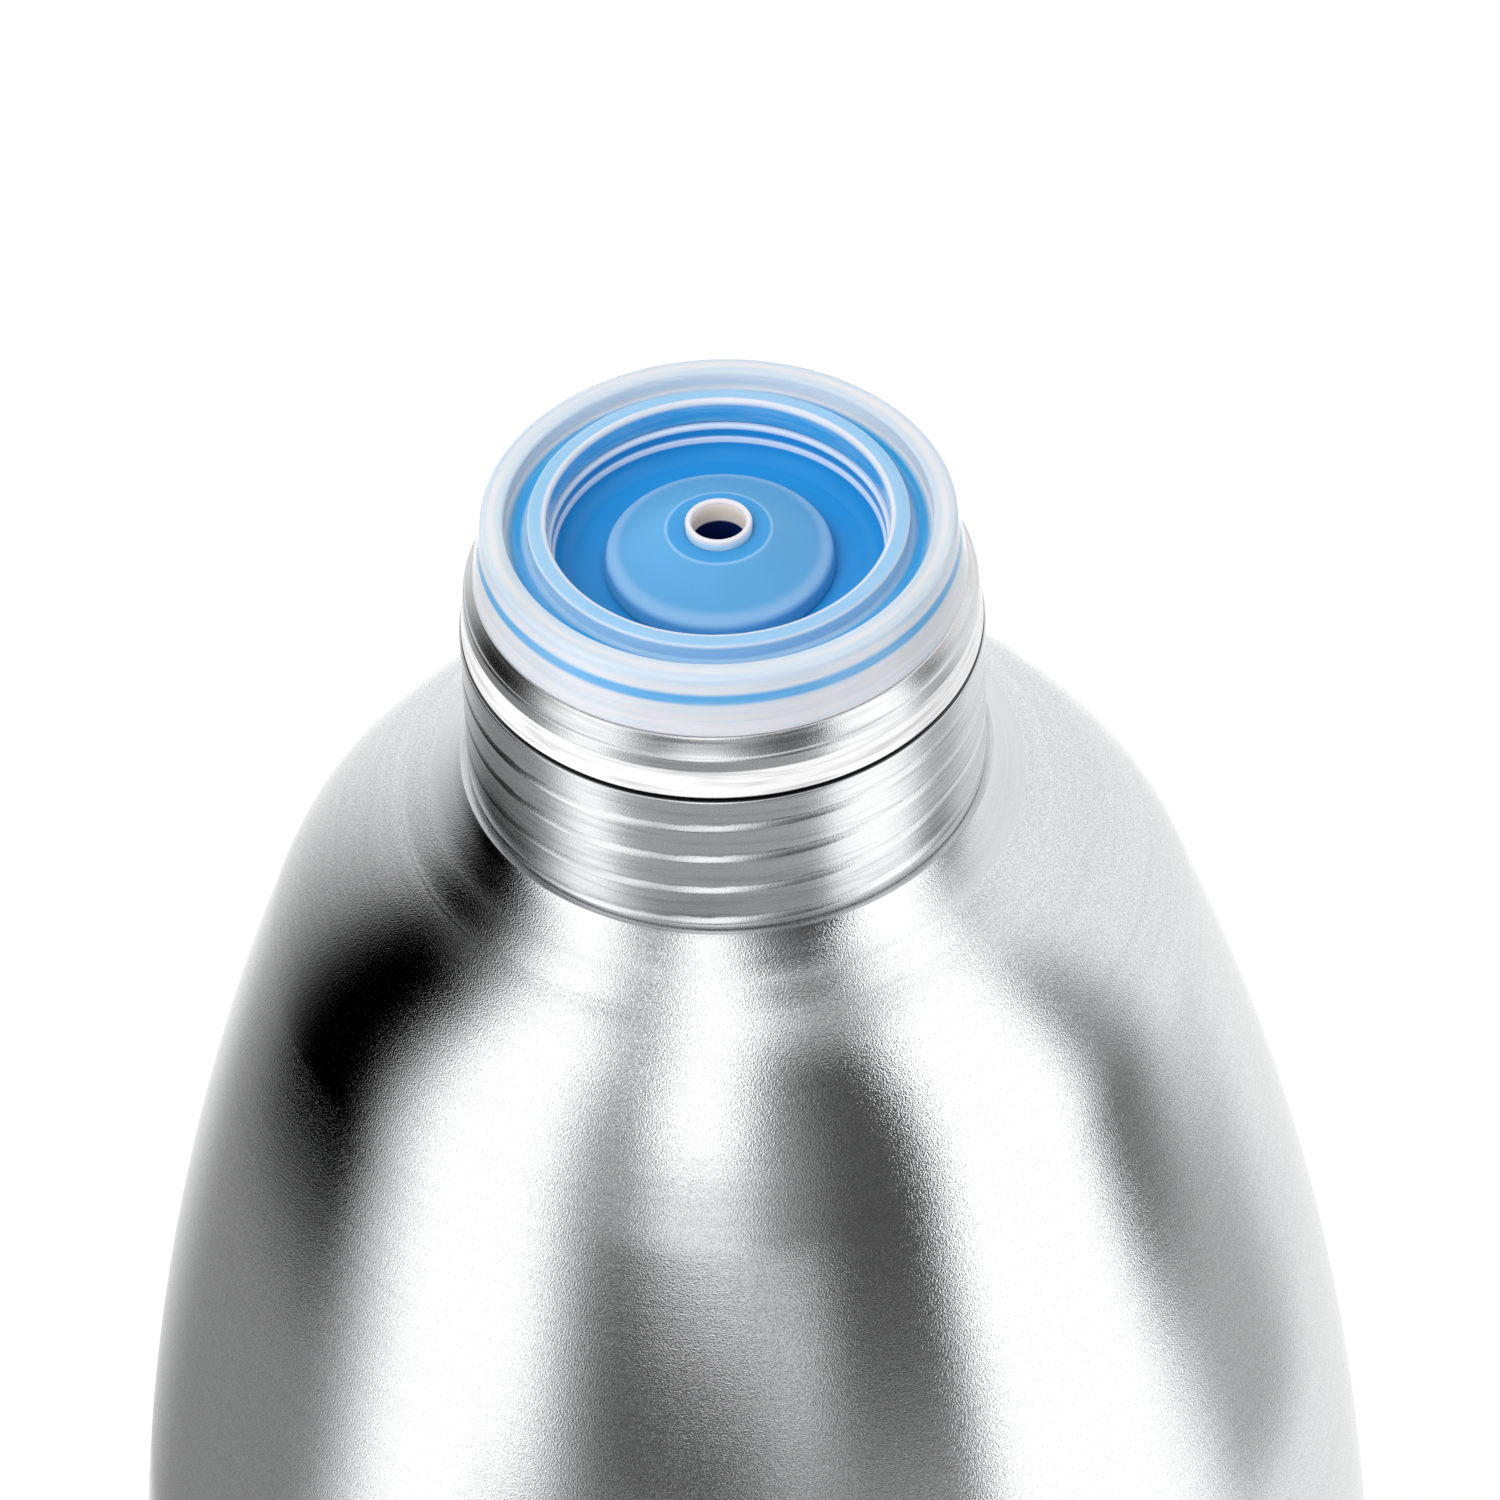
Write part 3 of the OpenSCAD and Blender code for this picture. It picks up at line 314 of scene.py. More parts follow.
def softened(corners, closed=True, steps=6):
    """A line of corners (radius, height, rounding) with each corner replaced by an arc that touches both
    sides. The arc's middle is on the corner's bisector, and one more point on each side keeps the flats
    flat."""
    longest = 0.45
    points = []
    last = len(corners) - 1
    for index, (r, h, rounding) in enumerate(corners):
        corner = np.array([r, h], float)
        if rounding == 0 or (not closed and index in (0, last)):
            points.append(corner[None, :])
            continue
        back = np.array(corners[index - 1][:2], float) - corner
        ahead = np.array(corners[(index + 1) % (last + 1)][:2], float) - corner
        room = min(np.linalg.norm(back), np.linalg.norm(ahead))
        back /= np.linalg.norm(back)
        ahead /= np.linalg.norm(ahead)
        half = math.acos(np.clip(back @ ahead, -1, 1)) / 2
        reach = min(rounding / math.tan(half), longest * room)
        radius = reach * math.tan(half)
        centre = corner + (back + ahead) / np.linalg.norm(back + ahead) * radius / math.sin(half)
        first = corner + back * reach - centre
        final = corner + ahead * reach - centre
        sweep = math.pi - 2 * half
        part = np.linspace(0, 1, steps + 1)[:, None]
        bend = (np.sin((1 - part) * sweep) * first + np.sin(part * sweep) * final) / math.sin(sweep)
        spare = min(0.4 * reach, 0.04 * room)
        points.append((corner + back * (reach + spare))[None, :])
        points.append(centre + bend)
        points.append((corner + ahead * (reach + spare))[None, :])
    return np.concatenate(points)


def circle(steps):
    """Angles of evenly spaced points round a full circle, without the last."""
    return np.linspace(0, FULL_TURN, steps, endpoint=False)


def soft_step(distance, soft):
    """Nothing below an edge and one above it, changing over the soft width as a smooth step."""
    part = np.clip(distance / soft + 0.5, 0, 1)
    return part * part * (3 - 2 * part)


# Surfaces

def grid_faces(rows, columns):
    """Quads of a grid whose columns close on themselves: each joins a point, its neighbour round the ring
    and the two above them."""
    row = np.arange(rows - 1)[:, None] * columns
    column = np.arange(columns)[None, :]
    after = (column + 1) % columns
    quads = np.stack([row + column, row + after, row + columns + after, row + columns + column], -1)
    return quads.reshape(-1, 4)


def end_fans(rows, columns):
    """Fans that close a grid's first and last ring on two points that follow the grid's own."""
    ring = np.arange(columns)
    after = (ring + 1) % columns
    last = (rows - 1) * columns
    pole = np.full(columns, rows * columns)
    return [np.stack([pole, after, ring], 1), np.stack([pole + 1, last + ring, last + after], 1)]


def turned(profile, segments=192, shape=None):
    """Surface of revolution: each profile point (radius, height) goes round the axis as radius times
    cosine, radius times sine, height. A profile that starts and ends on the axis gets one point at each
    pole, and any other profile closes into a ring. The shape function may change radius and height by
    angle."""
    profile = np.asarray(profile, float)
    on_axis = 1e-6
    poles = profile[0, 0] < on_axis and profile[-1, 0] < on_axis
    rings = profile[1:-1] if poles else np.concatenate([profile, profile[:1]])
    angle = circle(segments)[None, :]
    radius = np.repeat(rings[:, :1], segments, 1)
    height = np.repeat(rings[:, 1:], segments, 1)
    if shape:
        radius, height = shape(radius, height, angle)
    points = np.stack([radius * np.cos(angle), radius * np.sin(angle), height], -1)
    rows = len(rings)
    quads = grid_faces(rows, segments)
    if not poles:
        return points[:-1].reshape(-1, 3), [quads % ((rows - 1) * segments)]
    ends = np.array([[0, 0, profile[0, 1]], [0, 0, profile[-1, 1]]])
    return np.concatenate([points.reshape(-1, 3), ends]), [quads, *end_fans(rows, segments)]


def carried(path, across, up, section, cap=True):
    """A closed section carried along a path: each section point lies at the path's point plus its first
    number times the across direction and its second times the up direction. Flat fans close the two
    ends."""
    across, up = (np.broadcast_to(side, path.shape)[:, None, :] for side in (across, up))
    points = path[:, None, :] + section[..., :1] * across + section[..., 1:] * up
    rows, columns = points.shape[:2]
    faces = [grid_faces(rows, columns)]
    points = points.reshape(-1, 3)
    if cap:
        faces += end_fans(rows, columns)
        ends = [points[:columns].mean(0), points[-columns:].mean(0)]
        points = np.concatenate([points, ends])
    return points, faces


def placed(shell, axis=ALONG_Z, origin=(0, 0, 0)):
    """The shell with its own Z axis laid along another direction and its origin moved."""
    points, faces = shell
    swing = np.array(Vector(ALONG_Z).rotation_difference(Vector(axis)).to_matrix())
    return points @ swing.T + np.asarray(origin, float), faces


def from_nearest(angle, copies):
    """The angle from the nearest of evenly spaced copies round the axis."""
    step = FULL_TURN / copies
    return (angle + step / 2) % step - step / 2


def fluted(copies, hollow, depth, low, high, fade):
    """Shape function for flutes: inside each flute the radius follows a round cutter whose middle lies
    outside the bar. The flutes fade out near their two ends and away from the bar's outer skin."""
    skin = 1.5

    def shape(radius, height, angle):
        outer = radius.max()
        centre = outer + hollow - depth
        off = from_nearest(angle, copies)
        side = centre * np.sin(off)
        cut = centre * np.cos(off) - np.sqrt(np.clip(hollow ** 2 - side ** 2, 0, None))
        cut = np.where(np.abs(side) < hollow, np.minimum(cut, outer), outer)
        ease = np.clip((height - low) / fade, 0, 1) * np.clip((high - height) / fade, 0, 1)
        near = np.clip(radius - (outer - skin), 0, 1)
        return radius - (outer - cut) * ease * near, height
    return shape


def six_sided(flats, inner):
    """Shape function for a hexagon bar: the radius is the smaller of the profile's own and half the width
    across flats over the cosine of the angle from the nearest flat. Radii inside the given one stay
    round."""
    def shape(radius, height, angle):
        flat = flats / 2 / np.cos(from_nearest(angle, 6))
        return np.where(radius > inner, np.minimum(radius, flat), radius), height
    return shape


def put(name, data):
    """A new object in the scene."""
    made = bpy.data.objects.new(name, data)
    bpy.context.scene.collection.objects.link(made)
    return made


def piece(name, shells, body, slot, nodes, crease=38):
    """Puts shells, given in millimetres, into one mesh object that rides on a body and stands for CAD
    nodes."""
    points = []
    faces = []
    base = 0
    for shell_points, shell_faces in shells:
        points.append(shell_points * MM)
        for group in shell_faces:
            faces.extend((group + base).tolist())
        base += len(shell_points)
    mesh = bpy.data.meshes.new(name)
    mesh.from_pydata(np.concatenate(points).tolist(), [], faces)
    mesh.validate()
    mesh.shade_smooth()
    mesh.set_sharp_from_angle(angle=math.radians(crease))
    mesh.materials.append(FINISHES[slot])
    made = put(name, mesh)
    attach(made, body)
    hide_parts(*nodes)
    return made


# Shader nodes

def feed(tree, socket, value):
    """Links another node's output to a socket, or sets the socket to a plain value."""
    if isinstance(value, bpy.types.NodeSocket):
        tree.links.new(value, socket)
    else:
        socket.default_value = value


def number(tree, operation, *values):
    """A math node whose inputs are numbers or other nodes' outputs."""
    node = tree.nodes.new("ShaderNodeMath")
    node.operation = operation
    for socket, value in zip(node.inputs, values):
        feed(tree, socket, value)
    return node.outputs[0]


def product(tree, result, *factors):
    """The product of two or more numbers or outputs."""
    for factor in factors:
        result = number(tree, "MULTIPLY", result, factor)
    return result


def ranged(tree, value, low, high, to_low, to_high, smooth=True):
    """A map range node from one span to another."""
    node = tree.nodes.new("ShaderNodeMapRange")
    node.interpolation_type = "SMOOTHSTEP" if smooth else "LINEAR"
    labels = ("Value", "From Min", "From Max", "To Min", "To Max")
    for label, entry in zip(labels, (value, low, high, to_low, to_high)):
        feed(tree, node.inputs[label], entry)
    return node.outputs["Result"]


def spread(tree, texture, low, high):
    """Noise, most of which lies between 0.3 and 0.7, spread over another span."""
    return ranged(tree, texture, 0.3, 0.7, low, high, False)


def noise(tree, scale, detail, stretch=(1, 1, 1)):
    """Noise on Object coordinates, stretched along the axes."""
    place = tree.nodes.new("ShaderNodeTexCoord")
    mapping = tree.nodes.new("ShaderNodeMapping")
    mapping.inputs["Scale"].default_value = stretch
    tree.links.new(place.outputs["Object"], mapping.inputs["Vector"])
    node = tree.nodes.new("ShaderNodeTexNoise")
    node.inputs["Detail"].default_value = detail
    tree.links.new(mapping.outputs["Vector"], node.inputs["Vector"])
    feed(tree, node.inputs["Scale"], scale)
    return node.outputs["Fac"]


def spot(tree):
    """X, Y and Z of Object coordinates."""
    place = tree.nodes.new("ShaderNodeTexCoord")
    split = tree.nodes.new("ShaderNodeSeparateXYZ")
    tree.links.new(place.outputs["Object"], split.inputs[0])
    return tuple(split.outputs)


def axis_distance(tree, x, y):
    """Distance from the bottle's axis: the root of X squared plus Y squared."""
    return number(tree, "SQRT", number(tree, "ADD", product(tree, x, x), product(tree, y, y)))


def group_tree(name, inputs, outputs):
    """A new shader node group with named number inputs and outputs, and its input and output nodes."""
    tree = bpy.data.node_groups.new(name, "ShaderNodeTree")
    for label, value in inputs.items():
        socket = tree.interface.new_socket(label, in_out="INPUT", socket_type="NodeSocketFloat")
        socket.default_value = value
    for label in outputs:
        tree.interface.new_socket(label, in_out="OUTPUT", socket_type="NodeSocketFloat")
    return tree, tree.nodes.new("NodeGroupInput").outputs, tree.nodes.new("NodeGroupOutput").inputs


def link_skin(tree, given, result, height, shade):
    """Gives a group its height and, from a noise, a shade that goes as far below one as above it."""
    dark, light = (number(tree, side, 1.0, given["Shade depth"]) for side in ("SUBTRACT", "ADD"))
    tree.links.new(height, result["Height"])
    tree.links.new(spread(tree, shade, dark, light), result["Shade"])


def build_grain():
    """Satin grain: fine round grain mixed with fine lines that run round the axis."""
    tree, given, result = group_tree(
        "satin grain", {"Grain scale": 4000, "Line scale": 1500, "Line share": 0.4, "Shade depth": 0.1},
        ["Height", "Shade"])
    grain = noise(tree, given["Grain scale"], 1)
    lines = noise(tree, given["Line scale"], 2, (0.02, 0.02, 1))
    kept = number(tree, "SUBTRACT", 1.0, given["Line share"])
    height = number(tree, "ADD", product(tree, grain, kept), product(tree, lines, given["Line share"]))
    link_skin(tree, given, result, height, height)


def build_moulding():
    """Moulded skin: broad clouds for colour and fine pits for the surface."""
    tree, given, result = group_tree(
        "moulded skin", {"Cloud scale": 120, "Pit scale": 2500, "Shade depth": 0.06}, ["Height", "Shade"])
    link_skin(tree, given, result, noise(tree, given["Pit scale"], 2), noise(tree, given["Cloud scale"], 3))


def build_zone(name, start, end, measure):
    """Zone: one where a measure lies between two inputs, fading to nothing over a soft edge."""
    tree, given, result = group_tree(name, {start: 0, end: 0.01, "Soft": 0.0002}, ["Mask"])
    value = measure(tree)
    sides = [ranged(tree, value, number(tree, "SUBTRACT", given[label], given["Soft"]),
                    number(tree, "ADD", given[label], given["Soft"]), *levels)
             for label, levels in ((start, (0.0, 1.0)), (end, (1.0, 0.0)))]
    tree.links.new(product(tree, *sides), result["Mask"])


def build_streaks():
    """Ring streaks: thin worn lines that run round the axis for part of a turn. Noise is read at a place
    made of the turn round the axis, as two coarse numbers without a seam, and the finely scaled radius
    and height."""
    tree, given, result = group_tree(
        "ring streaks", {"Ring scale": 1000, "Turn scale": 3, "Low": 0.4, "High": 0.6}, ["Mask"])
    x, y, z = spot(tree)
    radius = number(tree, "MAXIMUM", axis_distance(tree, x, y), 0.0001)
    joined = tree.nodes.new("ShaderNodeCombineXYZ")
    for socket, side in zip(joined.inputs, (x, y)):
        tree.links.new(product(tree, number(tree, "DIVIDE", side, radius), given["Turn scale"]), socket)
    tree.links.new(product(tree, number(tree, "ADD", radius, z), given["Ring scale"]), joined.inputs[2])
    texture = tree.nodes.new("ShaderNodeTexNoise")
    texture.inputs["Scale"].default_value = 1
    texture.inputs["Detail"].default_value = 2
    tree.links.new(joined.outputs[0], texture.inputs["Vector"])
    mask = ranged(tree, texture.outputs["Fac"], given["Low"], given["High"], 0.0, 1.0)
    tree.links.new(mask, result["Mask"])


def build_swell():
    """Fillet swell: a low hump round the neck's foot, in metres, whose slope turns the shading so that
    shoulder and fillet run into each other, with a fine ridge at the seam. Only the bottle's upper part
    has it."""
    tree, given, result = group_tree("fillet swell", {"Height": 0.0004, "Ridge": 0.00001}, ["Height"])
    crest = 0.0210
    x, y, z = spot(tree)
    radius = number(tree, "MAXIMUM", axis_distance(tree, x, y), 0.01985)
    outer = ranged(tree, radius, crest, 0.0246, 1.0, 0.0)
    inner = ranged(tree, radius, 0.0186, crest, 1.0, 0.0)
    hump = product(tree, number(tree, "SUBTRACT", outer, inner), given["Height"])
    ridge = product(tree, ring_mask(tree, 24.35, 24.5, 0.15), given["Ridge"])
    high = ranged(tree, z, 0.18, 0.19, 0.0, 1.0)
    tree.links.new(product(tree, number(tree, "ADD", hump, ridge), high), result["Height"])


def use_group(tree, group, **values):
    """A group node with its own input values; underscores in the names stand for spaces."""
    node = tree.nodes.new("ShaderNodeGroup")
    node.node_tree = bpy.data.node_groups[group]
    for label, value in values.items():
        node.inputs[label.replace("_", " ")].default_value = value
    return node.outputs


def ring_mask(tree, inner, outer, soft):
    """One between two distances from the bottle's axis, in millimetres."""
    return use_group(tree, "ring zone", Inner=inner * MM, Outer=outer * MM, Soft=soft * MM)["Mask"]


def height_mask(tree, low, high, soft):
    """One between two heights, in millimetres."""
    return use_group(tree, "height zone", Low=low * MM, High=high * MM, Soft=soft * MM)["Mask"]


def zone(tree, ring, height, weight):
    """A weight inside a ring (inner, outer, soft) and between two heights (low, high, soft)."""
    return product(tree, ring_mask(tree, *ring), height_mask(tree, *height), weight)


# Finishes

# The bottle's satin, a bump's depth in metres, and a distance in millimetres past every surface of the part
BODY_GRAIN = 7500
BODY_LINES = 0.15
BUMP_DEPTH = 0.0001
FAR = 1000


def start_finish(slot):
    """A new material for a slot of the record: its node tree and its Principled shader."""
    material = bpy.data.materials.new(slot + "_finish")
    material.use_nodes = True
    FINISHES[slot] = material
    return material.node_tree, material.node_tree.nodes["Principled BSDF"]


def scaled(tree, colour, factor):
    """A colour times a factor that changes over the surface."""
    node = tree.nodes.new("ShaderNodeVectorMath")
    node.operation = "SCALE"
    node.inputs[0].default_value = tuple(colour)
    tree.links.new(factor, node.inputs["Scale"])
    return node.outputs[0]


def painted(tree, shader, mask, tone):
    """Blends a tone into the shader's colour by a mask."""
    node = tree.nodes.new("ShaderNodeMix")
    node.data_type = "RGBA"
    tree.links.new(mask, node.inputs["Factor"])
    tree.links.new(shader.inputs["Base Color"].links[0].from_socket, node.inputs[6])
    node.inputs[7].default_value = (*tone, 1)
    tree.links.new(node.outputs[2], shader.inputs["Base Color"])


def paint_zones(tree, shader, *zones):
    """Paints zones given as (ring, height, weight, tone), in millimetres, one over the other."""
    for ring, height, weight, tone in zones:
        painted(tree, shader, zone(tree, ring, height, weight), tone)


def add_bump(tree, shader, height, strength):
    """A bump node from a height to the shader's normal."""
    node = tree.nodes.new("ShaderNodeBump")
    node.inputs["Strength"].default_value = strength
    node.inputs["Distance"].default_value = BUMP_DEPTH
    tree.links.new(height, node.inputs["Height"])
    tree.links.new(node.outputs["Normal"], shader.inputs["Normal"])


def coloured(slot, group, colour, rough, **values):
    """A finish whose colour and roughness come from a group, and the group's height."""
    tree, shader = start_finish(slot)
    skin = use_group(tree, group, **values)
    tree.links.new(scaled(tree, colour, skin["Shade"]), shader.inputs["Base Color"])
    tree.links.new(spread(tree, skin["Height"], *rough), shader.inputs["Roughness"])
    return tree, shader, skin["Height"]


def metal(slot, colour, rough, line_share, strength, grain_scale=3600, line_scale=1500, shade_depth=0.08):
    """Metal with satin grain and turning lines."""
    tree, shader, height = coloured(slot, "satin grain", colour, rough, Grain_scale=grain_scale,
                                    Line_scale=line_scale, Line_share=line_share, Shade_depth=shade_depth)
    shader.inputs["Metallic"].default_value = 1
    add_bump(tree, shader, height, strength)
    return tree, shader


def moulded(slot, colour, rough, strength, shade_depth, soak=0.0, gleam=0.5):
    """Moulded plastic or rubber with clouds and fine pits, into which some light soaks."""
    tree, shader, height = coloured(slot, "moulded skin", colour, rough, Shade_depth=shade_depth)
    add_bump(tree, shader, height, strength)
    shader.inputs["Specular IOR Level"].default_value = gleam
    if soak:
        scattered(shader, soak, 0.002)
    return tree, shader


def scattered(shader, weight, reach):
    """Lets light soak into the shader's body."""
    shader.inputs["Subsurface Weight"].default_value = weight
    shader.inputs["Subsurface Radius"].default_value = (1, 1, 1)
    shader.inputs["Subsurface Scale"].default_value = reach


def swollen(tree):
    """Puts the fillet swell under a finish's own bump."""
    under = tree.nodes.new("ShaderNodeBump")
    under.inputs["Distance"].default_value = 1
    tree.links.new(use_group(tree, "fillet swell")["Height"], under.inputs["Height"])
    tree.links.new(under.outputs["Normal"], tree.nodes["Bump"].inputs["Normal"])


def neck_finish(colours, sizes):
    """Turned neck steel: fine streaks round it, a plain band painted almost white and hardly metallic as
    painted sheen, the bottle's satin on the fillet below its foot, and painted shade in the groove above
    the thread and in the cut under it."""
    tree, shader = metal("neck_steel", colours.neck_steel, (0.2, 0.3), 0.5, 0.2, 8000, 3000)
    foot = bottle_marks(sizes).foot
    groove = foot + sizes.thread_height
    band = groove + sizes.groove_height
    fillet = height_mask(tree, -FAR, foot - 0.05, 0.05)
    turned_part = number(tree, "SUBTRACT", 1.0, fillet)
    satin = use_group(tree, "satin grain", Grain_scale=BODY_GRAIN, Line_share=BODY_LINES)["Height"]
    bump = tree.nodes["Bump"].inputs["Height"]
    lines = product(tree, bump.links[0].from_socket, turned_part)
    tree.links.new(number(tree, "ADD", lines, product(tree, satin, 1.25, fillet)), bump)
    rough = shader.inputs["Roughness"]
    tree.links.new(number(tree, "SUBTRACT", rough.links[0].from_socket, product(tree, fillet, 0.12)), rough)
    swollen(tree)
    streaks = use_group(tree, "ring streaks", Ring_scale=2600, Turn_scale=2.5, Low=0.45, High=0.7)["Mask"]
    worn = product(tree, streaks, turned_part)
    painted(tree, shader, product(tree, worn, 0.2), colours.soot)
    # Painted sheen: the plain band is painted near-white and made hardly metallic, standing in for its
    # bright reflection.
    sheen_band = height_mask(tree, band + 0.1, band + 2.4, 0.1)
    painted(tree, shader, sheen_band, colours.band_steel)
    painted(tree, shader, product(tree, worn, sheen_band, 0.35), colours.soot)
    tree.links.new(ranged(tree, sheen_band, 0.0, 1.0, 1.0, 0.1, False), shader.inputs["Metallic"])
    neck = sizes.neck_radius
    # Painted shade: near-black in the groove above the thread and a faint grey in the cut under it.
    paint_zones(
        tree, shader,
        ((0, neck - 0.1, 0.05), (groove - 0.1, band + 0.05, 0.05), 0.95, colours.soot),
        ((0, neck + 0.3, 0.1), (foot - 0.1, foot + sizes.undercut_height, 0.1), 0.15, colours.soot))


def gasket_finish(colours, sizes):
    """Milky clear silicone. Painted blue stands for the insert seen through it on the channel's floor, the
    lip's two sides, a line under the flange's outer edge and the edge itself, each a little streaked; the
    paler blue on the edges and the lip is partly painted sheen, and the flange's inner wall is painted
    lighter against its shade."""
    tree, shader, _ = coloured("clear_silicone", "moulded skin", colours.silicone, (0.06, 0.14),
                               Shade_depth=0.03)
    streaks = use_group(tree, "ring streaks", Ring_scale=2400, Turn_scale=2.5, Low=0.4, High=0.7)["Mask"]
    wear = ranged(tree, streaks, 0.0, 1.0, 1.0, 0.85, False)
    top = gasket_seat(sizes) + sizes.gasket_height
    above = top + 1
    flange, lip = sizes.gasket_top, sizes.lip_inner
    outside, inside = sizes.channel_outer, sizes.channel_inner
    blue, pale = colours.silicone_blue, colours.silicone_pale
    # Zones: painted sheen on the flange's outer top edge, painted seen-through blue under that edge,
    # painted light on the flange's inner wall, painted sheen on its inner top edge, painted seen-through
    # blue on the channel's floor, painted sheen on the lip's outer wall and crest, and painted seen-through
    # blue on the lip's inner wall.
    zones = (
        ((flange - 0.5, FAR, 0.2), (top - 0.6, above, 0.2), 0.3, pale),
        ((flange - 0.1, FAR, 0.1), (top - 2.25, top - 1.4, 0.2), 0.85, blue),
        ((outside - 0.1, outside + 0.2, 0.1), (0, top - 0.3, 0.2), 1.0, colours.silicone_white),
        ((outside - 0.2, outside + 0.6, 0.3), (top - 0.3, above, 0.2), 0.35, pale),
        ((inside + 0.3, outside - 0.3, 0.3), (0, top - 0.9, 0.3), 1.0, blue),
        ((inside - 0.3, inside + 0.3, 0.2), (0, top - 0.2, 0.2), 0.85, pale),
        ((lip + 0.35, inside - 0.1, 0.1), (top - 0.7, above, 0.2), 0.95, pale),
        ((0, lip + 0.3, 0.2), (0, top - 0.4, 0.2), 0.95, blue),
    )
    painted(tree, shader, product(tree, streaks, 0.22), pale)
    for ring, height, weight, tone in zones:
        painted(tree, shader, product(tree, zone(tree, ring, height, weight), wear), tone)
    add_bump(tree, shader, streaks, 0.12)
    shader.inputs["IOR"].default_value = 1.41
    shader.inputs["Transmission Weight"].default_value = 0.35
    scattered(shader, 0.4, 0.001)


def insert_finish(colours, sizes):
    """Deep blue moulded insert with pale painted highlights at its rim and at the step above its bowl."""
    tree, shader = moulded("deep_blue_plastic", colours.deep_blue, (0.3, 0.42), 0.1, 0.04, 0.5, 0.25)
    seat = gasket_seat(sizes)
    rim = seat + sizes.web_under
    step = seat + sizes.floor_height + sizes.bowl_radius
    recess = sizes.recess_radius
    # Painted highlights: pale lines at the recess's rim and at the step above the bowl.
    paint_zones(
        tree, shader,
        ((recess - 0.1, recess + 0.4, 0.1), (rim - 0.4, rim, 0.1), 0.9, colours.insert_edge),
        ((recess - 0.3, recess, 0.1), (step - 0.35, step + 0.1, 0.1), 0.9, colours.insert_edge))


def collar_finish(colours, sizes):
    """Pale blue collar with a painted highlight on its rounded edge, and painted shade on the flat round
    the tube inside a thin painted highlight line."""
    tree, shader = moulded("pale_blue_plastic", colours.pale_blue, (0.3, 0.42), 0.1, 0.04, 0.6, 0.3)
    seat = gasket_seat(sizes)
    side = seat + sizes.collar_side
    edge = sizes.collar_shoulder
    pad = sizes.collar_pad
    # Painted highlight on the rounded edge, painted shade on the flat round the tube, and a thin painted
    # highlight line at the flat's edge.
    paint_zones(
        tree, shader,
        ((edge - 0.9, edge + 1, 0.4), (side - 0.3, side + 0.6, 0.3), 0.2, colours.insert_edge),
        ((0, pad, 0.15), (seat, FAR, 0.1), 0.7, colours.deep_blue),
        ((pad - 0.1, pad + 0.1, 0.1), (seat, FAR, 0.1), 0.22, colours.insert_edge))


def riser_finish(colours, sizes):
    """Ivory tube with a greyer lip over a painted reflection of the collar's blue, pale just inside its
    mouth and painted shade deep in the bore below.
    """
    tree, shader = moulded("ivory_plastic", colours.ivory, (0.35, 0.5), 0.1, 0.03, 0.6)
    bore = sizes.riser_bore + 0.2
    lip, dark = RISER_TOP - 0.3, RISER_TOP - 1.9
    # Zones: greyer lip, painted reflection of the collar's blue on the wall below it, a pale ring just
    # inside the mouth, and painted shade in the bore below.
    paint_zones(
        tree, shader,
        ((0, sizes.riser_radius + 1, 0.1), (lip, FAR, 0.1), 0.75, colours.riser_lip),
        ((bore, FAR, 0.1), (RISER_TOP - 2, lip, 0.2), 0.85, colours.silicone_pale),
        ((0, bore, 0.1), (dark, RISER_TOP - 1.4, 0.1), 0.7, colours.silicone),
        ((0, bore, 0.1), (0, dark, 0.1), 1.0, colours.navy))


def clear_finish(colours):
    """Clear tinted plastic."""
    _, shader, _ = coloured("clear_plastic", "moulded skin", colours.clear_plastic, (0.1, 0.2),
                            Shade_depth=0.03)
    shader.inputs["IOR"].default_value = 1.49
    shader.inputs["Transmission Weight"].default_value = 0.85


# Shapes, in millimetres

def bottle_marks(sizes):
    """Middles and angles of the bottle's outline, worked out as two touching circles and a fillet."""
    shoulder, fillet = sizes.shoulder_radius, sizes.fillet_radius
    inward = sizes.belly_radius - shoulder
    belly_middle = (BODY_RADIUS - sizes.belly_radius, SIDE_TOP)
    shoulder_middle = (belly_middle[0] + inward * math.cos(sizes.belly_turn),
                       belly_middle[1] + inward * math.sin(sizes.belly_turn))
    fillet_x = sizes.neck_radius + fillet
    weld = math.acos((fillet_x - shoulder_middle[0]) / (shoulder + fillet))
    fillet_z = shoulder_middle[1] + (shoulder + fillet) * math.sin(weld)
    drop = fillet - sizes.foot_step
    return SimpleNamespace(
        belly_middle=belly_middle, shoulder_middle=shoulder_middle, fillet_middle=(fillet_x, fillet_z),
        turn=math.degrees(sizes.belly_turn), weld=math.degrees(weld),
        weld_low=shoulder_middle[1] + shoulder * math.sin(weld),
        foot=fillet_z - math.sqrt(fillet ** 2 - drop ** 2),
        foot_angle=math.degrees(math.acos(drop / fillet)))


